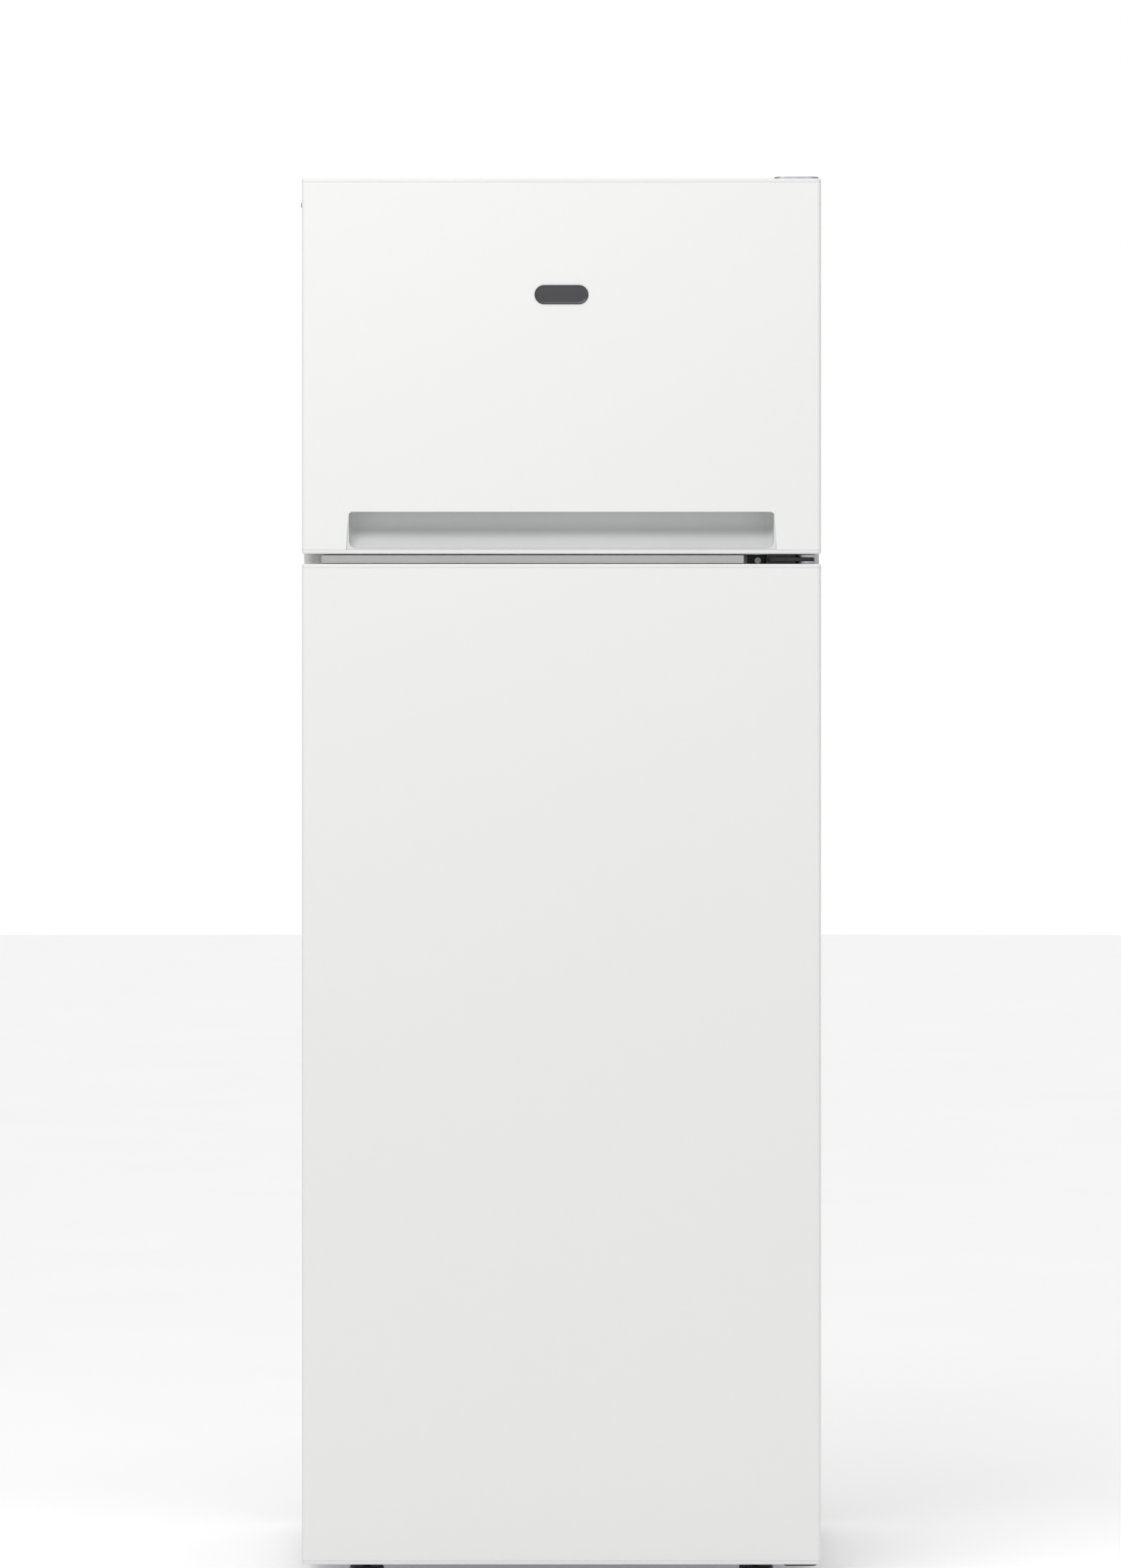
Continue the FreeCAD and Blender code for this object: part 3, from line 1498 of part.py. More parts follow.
def foot_plate(side):
    """Plate under the cabinet with a sleeve that the foot's stud turns in."""
    centre = (foot_x * side, foot_y)
    low = cab_bottom - foot_sleeve_drop
    half = foot_plate_half
    under = cab_bottom - foot_plate_thick
    plate = box((centre[0] - half, centre[0] + half), (foot_y - half, foot_y + half),
                (under, cab_bottom))
    sleeve = rod("Z", (low, cab_bottom), centre, stud_radius * 2)
    whole = fuse("Plate", [plate, sleeve])
    bore = rod("Z", (low - PAST, under), centre, stud_radius + pin_play)
    return cut("FootPlate", whole, bore)


def rear_roller(name, side):
    """Roller at the back with its own axle, as one turning piece."""
    body = new_body(name)
    x = roller_x * side
    centre = (roller_y, roller_radius)
    faces = (x - roller_half, x + roller_half)
    pad_round(body, "X", faces, centre, roller_radius)
    for face in faces:
        round_edges(body, foot_edge_round, lies_at(x=face))
    pad_round(body, "X", (x - axle_half, x + axle_half), centre, stud_radius)
    return finish(body)


def roller_bracket(side):
    """Fork under the machine tray that the roller's axle turns in."""
    x = roller_x * side
    left = x - fork_half
    right = x + fork_half
    under = cab_bottom - tray_thick
    reach = (roller_y - fork_depth_half, roller_y + fork_depth_half)
    parts = [box((left, right), reach, (under, cab_bottom))]
    for ear in (left, right - fork_ear):
        parts.append(box((ear, ear + fork_ear), reach, (fork_low, under)))
    whole = fuse("Bracket", parts)
    bore = rod("X", (left - PAST, right + PAST), (roller_y, roller_radius),
               stud_radius + pin_play)
    return cut("RollerFork", whole, bore)


# ---------------------------------------------------------------- cooling system

def machine_tray():
    """Steel tray across the bottom of the machine space, tied to the cabinet's sides."""
    body = new_body("machine_tray")
    front = machine_front + sheet_thick
    pad_box(body, (-cab_inside, cab_inside), (front, cab_back),
            (cab_bottom, cab_bottom + tray_thick))
    for left in (-cab_inside, cab_inside - tray_thick):
        pad_box(body, (left, left + tray_thick), (front, cab_back),
                (cab_bottom + tray_thick, cab_bottom + tray_side_height))
    for place in mount_places:
        drill(body, "Z", (cab_bottom, cab_bottom + tray_thick), place, mount_neck_radius)
    return finish(body)


def compressor_mounts():
    """Rubber grommets between the tray and the compressor's feet."""
    parts = []
    low = cab_bottom + tray_thick
    for place in mount_places:
        parts.append(fuse("Grommet", [
            rod("Z", (low, case_low - rail_height * 2), place, mount_radius),
            rod("Z", (cab_bottom - tray_thick, low), place, mount_neck_radius)]))
    return finish(group("compressor_mounts", parts))


def compressor_rails():
    """Pressed steel rails welded under the compressor case."""
    parts = []
    under = case_low - rail_height
    half = mount_reach_x + mount_radius * 1.5
    for y in (-mount_reach_y, mount_reach_y):
        middle = pump_y + y
        plate = box((pump_x - half, pump_x + half), (middle - rail_half, middle + rail_half),
                    (under - rail_height, under))
        saddle = box((pump_x - saddle_half_x, pump_x + saddle_half_x),
                     (middle - saddle_half_y, middle + saddle_half_y), (under, case_low))
        parts.append(fuse("Rail", [plate, saddle]))
    return parts


def rounded_drum(label, inset, span, closed_end):
    """A block with deep side rounds, also rounded where it is closed."""
    body = new_body(label)
    half_x = case_half_x - inset
    half_y = case_half_y - inset
    pad_box(body, (pump_x - half_x, pump_x + half_x), (pump_y - half_y, pump_y + half_y), span)
    round_edges(body, case_side_round - inset, runs_along("Z"))
    round_edges(body, case_end_round - inset, lies_at(z=closed_end))
    return body


def case_half(label, low, high, open_low):
    """One pressed half of the hermetic compressor case, welded to the other at a belt."""
    outside = rounded_drum(label + "_outside", size(0), (low, high), high if open_low else low)
    inner_end = high - case_wall if open_low else low + case_wall
    inner_span = (low, inner_end) if open_low else (inner_end, high)
    hollow = rounded_drum(label + "_hollow", case_wall, inner_span, inner_end)
    return cut(label, outside, hollow)


def compressor_case():
    """The two welded halves of the case and the rails under it."""
    halves = [case_half("LowHalf", case_low, case_belt, False),
              case_half("HighHalf", case_belt, case_high, True)]
    return finish(group("compressor_case", halves + compressor_rails()))


def pump_unit():
    """Motor and pump block inside the compressor case, with its springs left out."""
    motor_radius = case_half_y - motor_gap
    block_half = motor_radius + block_overhang
    block_half_y = motor_radius - block_inset
    motor = rod("Z", (case_low + motor_gap, case_belt), (pump_x, pump_y), motor_radius)
    block = box((pump_x - block_half, pump_x + block_half),
                (pump_y - block_half_y, pump_y + block_half_y),
                (case_belt, case_belt + block_height))
    return finish(fuse("compressor_motor", [motor, block]))


def relay_box():
    """Start relay and terminal cover on the side of the compressor."""
    body = new_body("relay")
    right = pump_x - case_half_x
    left = right - relay_width
    pad_box(body, (left, right), (pump_y - relay_half_depth, pump_y + relay_half_depth),
            (case_low + relay_lift, case_belt))
    round_edges(body, edge_round, runs_along("Z", x=(left, left)))
    return body


def drip_tray():
    """Defrost-water tray clipped on the compressor, under the drain tube."""
    body = new_body("drip_tray")
    wall = drip_tray_wall
    left = pump_x - drip_left
    right = pump_x + drip_right
    front = pump_y - drip_front
    back = pump_y + drip_back
    high = case_high + drip_tray_height
    pad_box(body, (left, right), (front, back), (case_high, high))
    round_edges(body, edge_round * 2, runs_along("Z"))
    pocket_box(body, (left + wall, right - wall), (front + wall, back - wall),
               (case_high + tray_thick, high))
    return body


def drain_tube():
    """Tube that leads defrost water from the fridge tub down to the drip tray."""
    low = case_high + drain_gap
    sleeve = rod("Z", (low, hump_top), drain_place, drain_outer)
    bore = rod("Z", (low - PAST, hump_top + PAST), drain_place, drain_inner)
    return cut("DrainTube", sleeve, bore)


def condenser_tube():
    """Serpentine of the wire-on-tube condenser."""
    points = []
    for row in range(coil_rows):
        level = coil_low + coil_pitch * row
        ends = (-coil_half, coil_half) if row % 2 == 0 else (coil_half, -coil_half)
        points.append((ends[0], coil_y, level))
        points.append((ends[1], coil_y, level))
    return tube(points, tube_radius, coil_pitch / 2 - bend_relief)


def condenser():
    """Serpentine tube with wires welded across it on both sides."""
    low = coil_low - wire_overhang
    high = coil_low + coil_pitch * (coil_rows - 1) + wire_overhang
    span = coil_half - wire_inset
    parts = []
    for reach in (-1, 1):
        y = coil_y + (tube_radius + wire_radius) * reach
        for i in range(coil_wires):
            x = -span + span * 2 * i / (coil_wires - 1)
            parts.append(rod("Z", (low, high), (x, y), wire_radius))
    return finish(group("condenser", [condenser_tube()] + parts))


def condenser_clips():
    """Plastic clips that hold the coil off the back, and bumpers that keep the wall away."""
    parts = []
    spacer_x = coil_half - spacer_inset
    bumper_x = coil_half + bumper_outset
    bumper_low = cab_top - bumper_drop
    for side in (-1, 1):
        for row in (1, coil_rows - 3):
            level = coil_low + coil_pitch * row
            middle = spacer_x * side
            parts.append(box((middle - spacer_half, middle + spacer_half),
                             (cab_back, coil_y - tube_radius),
                             (level - spacer_half_height, level + spacer_half_height)))
        middle = bumper_x * side
        parts.append(box((middle - bumper_half, middle + bumper_half), (cab_back, wall_side),
                         (bumper_low, bumper_low + bumper_height)))
    return finish(group("back_spacers", parts))


def discharge_pipe():
    """Pipe from the compressor case up to the lower end of the coil."""
    level = case_belt + pipe_level_rise
    exit_x = pump_x - pipe_reach
    turn_low = coil_low - pipe_drop
    end_x = -coil_half
    side_x = end_x - pipe_side_reach
    return tube([(exit_x, pump_y + case_half_y, level), (exit_x, coil_y, level),
                 (exit_x, coil_y, turn_low), (side_x, coil_y, turn_low),
                 (side_x, coil_y, coil_low), (end_x, coil_y, coil_low)],
                tube_radius, pipe_bend)


def suction_pipe():
    """Return pipe from the foam's underside down to the compressor case."""
    level = case_belt + pipe_level_rise
    exit_x = pump_x + pipe_reach
    out_y = pump_y + case_half_y
    turn_y = out_y + suction_out
    rise_x = exit_x + suction_step
    return tube([(exit_x, out_y, level), (exit_x, turn_y, level),
                 (rise_x, turn_y, level), (rise_x, turn_y, machine_top)],
                tube_radius, suction_bend)


def filter_drier():
    """Copper filter-drier that stands in the machine space beside the compressor."""
    body = new_body("filter_drier")
    centre = (drier_x, drier_y)
    low = machine_top - drier_drop
    high = low + drier_length
    pad_round(body, "Z", (low, high), centre, drier_radius)
    for end in (low, high):
        round_edges(body, drier_radius * 5 / 9, lies_at(z=end))
    pad_round(body, "Z", (high - edge_round, machine_top), centre, stud_radius / 2)
    return body


def power_inlet():
    """Moulded gland for the supply lead, in the machine tray's left side."""
    body = new_body("power_gland")
    top = cab_bottom + tray_thick
    depth = (cab_back - gland_front_inset, cab_back - gland_back_inset)
    pad_box(body, (gland_x - gland_half, gland_x + gland_half), depth,
            (top, top + gland_height))
    round_edges(body, gland_radius * 3 / 4, runs_along("Z"))
    drill(body, "Y", depth, (gland_x, top + gland_height / 2), gland_radius)
    return body


def build():
    cabinet_shell()
    back_panel()
    bottom_panel()
    front_rails()
    fridge_liner()
    freezer_liner()
    cabinet_foam()
    evaporators()
    top_cover()
    freezer_door_parts()
    fridge_door_parts()
    glass_shelves()
    crisper()
    control_box()
    lamp()
    thermostat()
    thermostat_knob()
    light_switch()
    freezer_rack()
    ice_tray()
    top_hinge()
    middle_hinge()
    bottom_hinge()
    hinge_cover()
    hinge_screws()
    for end, side in (("left", -1), ("right", 1)):
        front_foot("front_foot_" + end, side)
        rear_roller("rear_roller_" + end, side)
    finish(group("foot_brackets", [foot_plate(-1), foot_plate(1),
                                   roller_bracket(-1), roller_bracket(1)]))
    machine_tray()
    compressor_mounts()
    compressor_case()
    pump_unit()
    finish(group("electrical_covers", [relay_box(), power_inlet()]))
    finish(group("defrost_drain", [drip_tray(), drain_tube()]))
    condenser()
    condenser_clips()
    finish(group("refrigerant_pipes", [discharge_pipe(), suction_pipe(), filter_drier()]))


def check_and_write():
    """Stop on any failed feature or bad shape, then write one file per piece."""
    doc.recompute()
    for thing in doc.Objects:
        if "Invalid" in thing.State or "Error" in thing.State:
            raise ValueError(f"{thing.Label} failed: {thing.State}")
    os.makedirs("parts", exist_ok=True)
    for node in nodes:
        shape = node.Shape
        if shape.isNull() or not shape.isValid():
            raise ValueError(f"{node.Label} has no valid shape")
        shape.exportStep(os.path.join("parts", node.Label + ".step"))
    print(len(nodes), "pieces written")


build()
check_and_write()
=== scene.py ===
import json
import math

import bmesh
import bpy
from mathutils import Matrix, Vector


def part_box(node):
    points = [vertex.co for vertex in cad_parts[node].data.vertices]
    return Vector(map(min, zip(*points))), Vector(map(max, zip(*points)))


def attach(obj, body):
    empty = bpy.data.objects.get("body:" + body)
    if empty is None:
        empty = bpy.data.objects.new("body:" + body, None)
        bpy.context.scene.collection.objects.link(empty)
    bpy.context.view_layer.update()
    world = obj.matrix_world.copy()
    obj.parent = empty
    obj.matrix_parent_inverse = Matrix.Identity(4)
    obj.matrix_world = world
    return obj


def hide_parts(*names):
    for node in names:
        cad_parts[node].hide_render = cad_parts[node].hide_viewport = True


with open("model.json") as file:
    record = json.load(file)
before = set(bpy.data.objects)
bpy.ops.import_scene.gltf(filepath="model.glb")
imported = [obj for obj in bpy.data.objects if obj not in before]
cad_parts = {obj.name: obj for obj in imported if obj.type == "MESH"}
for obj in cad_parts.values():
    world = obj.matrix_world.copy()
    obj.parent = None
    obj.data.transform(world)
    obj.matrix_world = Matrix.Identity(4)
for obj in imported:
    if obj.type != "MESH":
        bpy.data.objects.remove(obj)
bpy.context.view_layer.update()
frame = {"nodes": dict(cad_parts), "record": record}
NODES = frame["nodes"]
MM = 0.001

# Strength of the surroundings at their two sides, where the rest has 1.
SIDE_WALL_LIGHT = 0.38


# ------------------------------------------------------------ material tools

class Kit:
    """A node material with object coordinates ready for its textures."""

    def __init__(self, name, **values):
        self.material = bpy.data.materials.new(name)
        self.material.use_nodes = True
        self.tree = self.material.node_tree
        self.shader = self.tree.nodes["Principled BSDF"]
        self.coords = self.add("ShaderNodeTexCoord")
        self.normal = None
        for socket, value in values.items():
            self.shader.inputs[socket.replace("_", " ")].default_value = value

    def add(self, kind, **settings):
        node = self.tree.nodes.new(kind)
        for key, value in settings.items():
            if key in node.inputs:
                node.inputs[key].default_value = value
            else:
                setattr(node, key, value)
        return node

    def link(self, source, target):
        self.tree.links.new(source, target)

    def stretched(self, stretch):
        mapping = self.add("ShaderNodeMapping")
        mapping.inputs["Scale"].default_value = stretch
        self.link(self.coords.outputs["Object"], mapping.inputs["Vector"])
        return mapping.outputs["Vector"]

    def noise(self, scale, detail=3.0, stretch=(1, 1, 1)):
        node = self.add("ShaderNodeTexNoise", Scale=scale, Detail=detail)
        self.link(self.stretched(stretch), node.inputs["Vector"])
        return node.outputs["Fac"]

    def cells(self, scale):
        node = self.add("ShaderNodeTexVoronoi", Scale=scale)
        self.link(self.coords.outputs["Object"], node.inputs["Vector"])
        return node.outputs["Distance"]

    def span(self, value, low, high):
        """Carry a value between 0 and 1 over to the range from low to high."""
        node = self.add("ShaderNodeMapRange")
        node.inputs["To Min"].default_value = low
        node.inputs["To Max"].default_value = high
        self.link(value, node.inputs["Value"])
        return node.outputs["Result"]

    def colours(self, value, stops):
        """Colour the surface by a value, between two (place, colour) stops."""
        node = self.add("ShaderNodeValToRGB")
        for element, (place, colour) in zip(node.color_ramp.elements, stops):
            element.position = place
            element.color = (*colour, 1)
        self.link(value, node.inputs["Fac"])
        self.link(node.outputs["Color"], self.shader.inputs["Base Color"])

    def rough(self, value, low, high):
        self.link(self.span(value, low, high), self.shader.inputs["Roughness"])

    def bump(self, value, strength, distance):
        node = self.add("ShaderNodeBump", Strength=strength, Distance=distance)
        self.link(value, node.inputs["Height"])
        if self.normal is not None:
            self.link(self.normal, node.inputs["Normal"])
        self.normal = node.outputs["Normal"]
        self.link(self.normal, self.shader.inputs["Normal"])

    def soft_edges(self, radius):
        """Catch light along edges that the pressed or moulded piece has rounded."""
        node = self.add("ShaderNodeBevel", Radius=radius)
        node.samples = 4
        self.normal = node.outputs["Normal"]
        self.link(self.normal, self.shader.inputs["Normal"])


def scaled(colour, amount):
    """The colour made darker or, with an amount above 1, lighter."""
    return tuple(channel * amount for channel in colour)


def enamel(name, colour, gloss=0.27):
    """Baked enamel on sheet steel: a faint orange peel under a clear, glossy skin."""
    kit = Kit(name, Coat_Weight=0.35, Coat_Roughness=0.12, Specular_IOR_Level=0.45)
    kit.soft_edges(0.0012)
    kit.colours(kit.noise(1.6, 1), [(0.0, scaled(colour, 0.98)), (1.0, colour)])
    kit.rough(kit.noise(6, 1), gloss, gloss + 0.03)
    kit.bump(kit.noise(420, 1), 0.03, 0.0002)
    return kit.material


def moulded(name, colour, gloss=0.38, grain=900, depth=0.10):
    """Injection-moulded plastic with a fine spark-eroded texture and slow flow marks."""
    kit = Kit(name, Specular_IOR_Level=0.45)
    kit.soft_edges(0.0008)
    kit.colours(kit.noise(9, 4), [(0.0, scaled(colour, 0.93)), (1.0, colour)])
    kit.rough(kit.noise(40), gloss - 0.05, gloss + 0.07)
    kit.bump(kit.noise(grain, 2), depth, 0.0003)
    return kit.material


def formed(name, colour):
    """Vacuum-formed tub plastic: smooth, a little wavy, faintly blue-white."""
    kit = Kit(name, Specular_IOR_Level=0.5, Coat_Weight=0.2, Coat_Roughness=0.2)
    kit.soft_edges(0.0015)
    kit.colours(kit.noise(2.5, 1), [(0.0, scaled(colour, 0.96)), (1.0, colour)])
    kit.rough(kit.noise(6, 1), 0.30, 0.36)
    kit.bump(kit.noise(7, 0), 0.04, 0.002)
    return kit.material


def rubber(name, colour):
    """Matt rubber with a fine grain and a faint sheen."""
    kit = Kit(name, Specular_IOR_Level=0.3, Sheen_Weight=0.1)
    kit.colours(kit.noise(60, 5), [(0.3, scaled(colour, 0.9)), (0.7, colour)])
    kit.rough(kit.noise(120), 0.6, 0.78)
    kit.bump(kit.noise(1400, 2), 0.18, 0.0003)
    return kit.material


def rolled_steel(name, colour):
    """Plated sheet: rolling lines, cloudy plating and small dull spots."""
    rolling = (1, 1, 0.02)
    kit = Kit(name, Metallic=0.9)
    kit.soft_edges(0.0008)
    kit.colours(kit.cells(70), [(0.0, scaled(colour, 0.82)), (0.75, colour)])
    kit.rough(kit.noise(90, 4), 0.3, 0.52)
    kit.bump(kit.noise(260, 3, rolling), 0.12, 0.0003)
    return kit.material


def worn_black(name, colour):
    """Black stove enamel over steel, thin and slightly dusty."""
    kit = Kit(name, Specular_IOR_Level=0.5)
    kit.soft_edges(0.0006)
    kit.colours(kit.noise(55, 6), [(0.35, colour), (0.72, scaled(colour, 2.6))])
    kit.rough(kit.noise(80, 4), 0.3, 0.5)
    kit.bump(kit.noise(500, 3), 0.14, 0.0004)
    return kit.material


def clear(name, tint, roughness, body, index=1.49):
    """See-through moulded polystyrene or float glass; body is how much it veils what is behind."""
    kit = Kit(name, IOR=index, Roughness=roughness, Alpha=body, Coat_Weight=0.6,
              Coat_Roughness=0.04)
    kit.soft_edges(0.0008)
    kit.colours(kit.noise(6, 2), [(0.3, scaled(tint, 0.97)), (0.7, tint)])
    kit.bump(kit.noise(35, 1), 0.05, 0.0006)
    return kit.material


def opal(name, colour):
    """Milky lamp cover."""
    kit = Kit(name, Transmission_Weight=0.35, Roughness=0.45, Subsurface_Weight=0.2)
    kit.colours(kit.noise(30, 2), [(0.3, scaled(colour, 0.96)), (0.7, colour)])
    kit.bump(kit.cells(420), 0.25, 0.0005)
    return kit.material


def drawn_metal(name, colour):
    """Drawn copper or aluminium with fine lines and a breath of oxide."""
    drawing = (1, 1, 0.1)
    kit = Kit(name, Metallic=1.0)
    kit.colours(kit.noise(38, 5), [(0.32, scaled(colour, 0.62)), (0.66, colour)])
    kit.rough(kit.noise(140, 4), 0.26, 0.46)
    kit.bump(kit.noise(800, 2, drawing), 0.10, 0.0002)
    return kit.material


def rigid_foam(name, colour):
    """Open-celled cut face of polyurethane foam."""
    kit = Kit(name, Roughness=0.95, Specular_IOR_Level=0.15)
    kit.colours(kit.noise(26, 6), [(0.3, scaled(colour, 0.8)), (0.7, colour)])
    kit.bump(kit.cells(700), 0.6, 0.0008)
    return kit.material


def cast_iron(name, colour):
    """Rough, mottled casting."""
    kit = Kit(name, Metallic=0.7)
    kit.colours(kit.noise(70, 6), [(0.3, scaled(colour, 0.6)), (0.7, colour)])
    kit.rough(kit.noise(60), 0.5, 0.8)
    kit.bump(kit.noise(300, 5), 0.5, 0.0008)
    return kit.material


MATERIALS = {
    "white_paint": enamel("white_enamel", (0.752, 0.754, 0.748)),
    "white_plastic": moulded("white_plastic", (0.741, 0.743, 0.736)),
    # The grip scoop gets a darker copy of the white plastic: the lower brightness is painted shade
    # for the recess, not a plastic of another colour
    "grip_plastic": moulded("grip_plastic", (0.665, 0.668, 0.670), 0.42),
    "liner_white": formed("liner_white", (0.76, 0.785, 0.79)),
    "foam": rigid_foam("foam", (0.72, 0.60, 0.33)),
    "zinc_steel": rolled_steel("zinc_steel", (0.58, 0.59, 0.60)),
    "black_paint": worn_black("black_enamel", (0.012, 0.012, 0.013)),
    "black_plastic": moulded("black_plastic", (0.022, 0.022, 0.024), 0.46, 700, 0.2),
    "grey_plastic": moulded("grey_plastic", (0.26, 0.265, 0.27), 0.42),
    "badge_grey": moulded("badge_grey", (0.045, 0.045, 0.048), 0.3, 1200, 0.05),
    "seal_rubber": rubber("seal_rubber", (0.62, 0.62, 0.61)),
    "dark_rubber": rubber("dark_rubber", (0.02, 0.02, 0.02)),
    "shelf_glass": clear("shelf_glass", (0.60, 0.80, 0.73), 0.03, 0.22, 1.52),
    "clear_plastic": clear("clear_plastic", (0.86, 0.90, 0.92), 0.14, 0.26),
    "opal_plastic": opal("opal_plastic", (0.92, 0.91, 0.87)),
    "bulb_glass": clear("bulb_glass", (0.95, 0.93, 0.88), 0.05, 0.4),
    "aluminium": drawn_metal("aluminium", (0.78, 0.79, 0.80)),
    "copper": drawn_metal("copper", (0.78, 0.42, 0.26)),
    "cast_motor": cast_iron("cast_motor", (0.24, 0.23, 0.22)),
    "coated_wire": enamel("coated_wire", (0.80, 0.80, 0.80), 0.3),
}


def dress_frame():
    """Give every CAD node the procedural material of its slot."""
    for row in frame["record"]["subparts"]:
        materials = NODES[row["node"]].data.materials
        materials.clear()
        materials.append(MATERIALS[row["material_slot"]])


# ------------------------------------------------------------ mesh tools

def new_piece(name, bm, body, slot):
    """Turn a bmesh into a smooth piece that rides on a body and wears a slot's material."""
    mesh = bpy.data.meshes.new(name)
    bmesh.ops.recalc_face_normals(bm, faces=bm.faces)
    bm.to_mesh(mesh)
    bm.free()
    for polygon in mesh.polygons:
        polygon.use_smooth = True
    piece = bpy.data.objects.new(name, mesh)
    bpy.context.scene.collection.objects.link(piece)
    piece.data.materials.append(MATERIALS[slot])
    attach(piece, body)
    return piece


def middle_and_half(low, high):
    """The middle and the half size of a box, each with a number for every axis."""
    middle = [(a + b) / 2 for a, b in zip(low, high)]
    half = [(b - a) / 2 for a, b in zip(low, high)]
    return middle, half


def solids_of(node):
    """The box of each separate solid of a CAD node."""
    bm = bmesh.new()
    bm.from_mesh(NODES[node].data)
    weld_distance = 1e-6
    bmesh.ops.remove_doubles(bm, verts=bm.verts, dist=weld_distance)
    left = set(bm.verts)
    boxes = []
    while left:
        stack = [left.pop()]
        found = []
        while stack:
            vert = stack.pop()
            found.append(vert.co.copy())
            for edge in vert.link_edges:
                other = edge.other_vert(vert)
                if other in left:
                    left.remove(other)
                    stack.append(other)
        boxes.append(([min(co[i] for co in found) for i in range(3)],
                      [max(co[i] for co in found) for i in range(3)]))
    bm.free()
    return sorted(boxes)


def rounded_loop(half_u, half_v, radius, steps):
    """Points of a rounded rectangle, anticlockwise, as (u, v) pairs."""
    points = []
    corners = ((1, 1, 0), (-1, 1, 90), (-1, -1, 180), (1, -1, 270))
    for side_u, side_v, start in corners:
        for i in range(steps + 1):
            angle = math.radians(start + 90 * i / steps)
            points.append((side_u * (half_u - radius) + radius * math.cos(angle),
                           side_v * (half_v - radius) + radius * math.sin(angle)))
    return points


def join_rings(bm, ring, after):
    """Fill the band between two equal rings of vertices."""
    count = len(ring)
    for i in range(count):
        j = (i + 1) % count
        bm.faces.new((ring[i], ring[j], after[j], after[i]))


def stack_rings(bm, rings):
    """Make a list of equal rings of points and join each to the next."""
    made = [[bm.verts.new(point) for point in ring] for ring in rings]
    for ring, after in zip(made, made[1:]):
        join_rings(bm, ring, after)
    return made


def loft(bm, rings):
    """Skin a list of rings as a solid, with caps on the first and last."""
    made = stack_rings(bm, rings)
    bm.faces.new(list(reversed(made[0])))
    bm.faces.new(made[-1])


def loft_around(bm, rings):
    """Skin a list of rings and join the last to the first, as a closed hollow ring."""
    made = stack_rings(bm, rings)
    join_rings(bm, made[-1], made[0])


def shade_by_angle(piece, degrees=32):
    """Smooth the gentle curves of a piece and keep its real corners crisp."""
    sharp = math.radians(degrees)
    bm = bmesh.new()
    bm.from_mesh(piece.data)
    for edge in bm.edges:
        edge.smooth = len(edge.link_faces) == 2 and edge.calc_face_angle() < sharp
    bm.to_mesh(piece.data)
    bm.free()


# ------------------------------------------------------------ finer pieces

# Nameplate from its back edge to its middle: inset in mm, share of the depth.
BADGE_PROFILE = ((0.0, 0.0), (0.0, 0.75), (0.35, 1.0), (1.1, 1.0), (1.5, 0.62),
                 (3.0, 0.70), (6.0, 0.80), (9.0, 0.84))

# Section of a door seal, beginning and ending on the door: share of the width
# inwards, share of the depth towards the cabinet.
SEAL_PROFILE = ((0.30, 0.0), (0.22, 0.12), (0.30, 0.24), (0.16, 0.36), (0.12, 0.46),
                (0.24, 0.58), (0.06, 0.68), (0.0, 0.78), (0.0, 0.92), (0.08, 1.0),
                (0.45, 0.985), (0.55, 0.985), (0.92, 1.0), (1.0, 0.92), (1.0, 0.78),
                (0.94, 0.68), (0.76, 0.58), (0.88, 0.46), (0.84, 0.36), (0.70, 0.24),
                (0.78, 0.12), (0.70, 0.0))

# Sections of the shelf trims: share of the depth from the front, share of the height.
NOSE_PROFILE = ((0.30, 0.0), (0.12, 0.04), (0.02, 0.14), (0.0, 0.32), (0.0, 0.66),
                (0.05, 0.82), (0.20, 0.95), (0.42, 1.0), (0.86, 1.0), (1.0, 0.97),
                (1.0, 0.56), (0.62, 0.50), (0.55, 0.30), (0.55, 0.0))
CLIP_PROFILE = ((0.0, 0.30), (0.0, 0.97), (0.14, 1.0), (0.80, 1.0), (1.0, 0.88),
                (1.0, 0.14), (0.86, 0.0), (0.30, 0.0), (0.30, 0.30))

# Section of the weld belt in mm: outwards from the case, upwards from the seam.
BELT_PROFILE = ((-1.0, -3.2), (0.9, -2.8), (1.5, -1.6), (1.5, -0.4), (2.4, 0.0),
                (1.5, 0.5), (1.4, 2.4), (0.8, 3.4), (-1.0, 3.8))


def make_badge():
    """Domed blank nameplate with a thin raised rim."""
    low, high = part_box("badge")
    middle, half = middle_and_half(low, high)
    back = high[1]
    depth = back - low[1]
    flat_end = 0.05 * MM
    rings = []
    for inset, height in BADGE_PROFILE:
        half_v = half[2] - inset * MM
        loop = rounded_loop(half[0] - inset * MM, half_v, half_v - flat_end, steps=12)
        y = back - depth * height
        rings.append([(middle[0] + u, y, middle[2] + v) for u, v in loop])
    bm = bmesh.new()
    loft(bm, rings)
    piece = new_piece("badge_plate", bm, "freezer_door", "badge_grey")
    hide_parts("badge")


def make_seal(door):
    """Magnetic seal swept round the door: a soft bellows behind a flat magnet lip."""
    low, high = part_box(door + "_gasket")
    middle, half = middle_and_half(low, high)
    depth = high[1] - low[1]
    width = 14 * MM
    corner = 16 * MM
    rings = []
    for across, along in SEAL_PROFILE:
        inset = across * width
        loop = rounded_loop(half[0] - inset, half[2] - inset, corner - inset, steps=6)
        y = low[1] + along * depth
        rings.append([(middle[0] + u, y, middle[2] + v) for u, v in loop])
    bm = bmesh.new()
    loft_around(bm, rings)
    piece = new_piece(door + "_seal", bm, door, "seal_rubber")
    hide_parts(door + "_gasket")


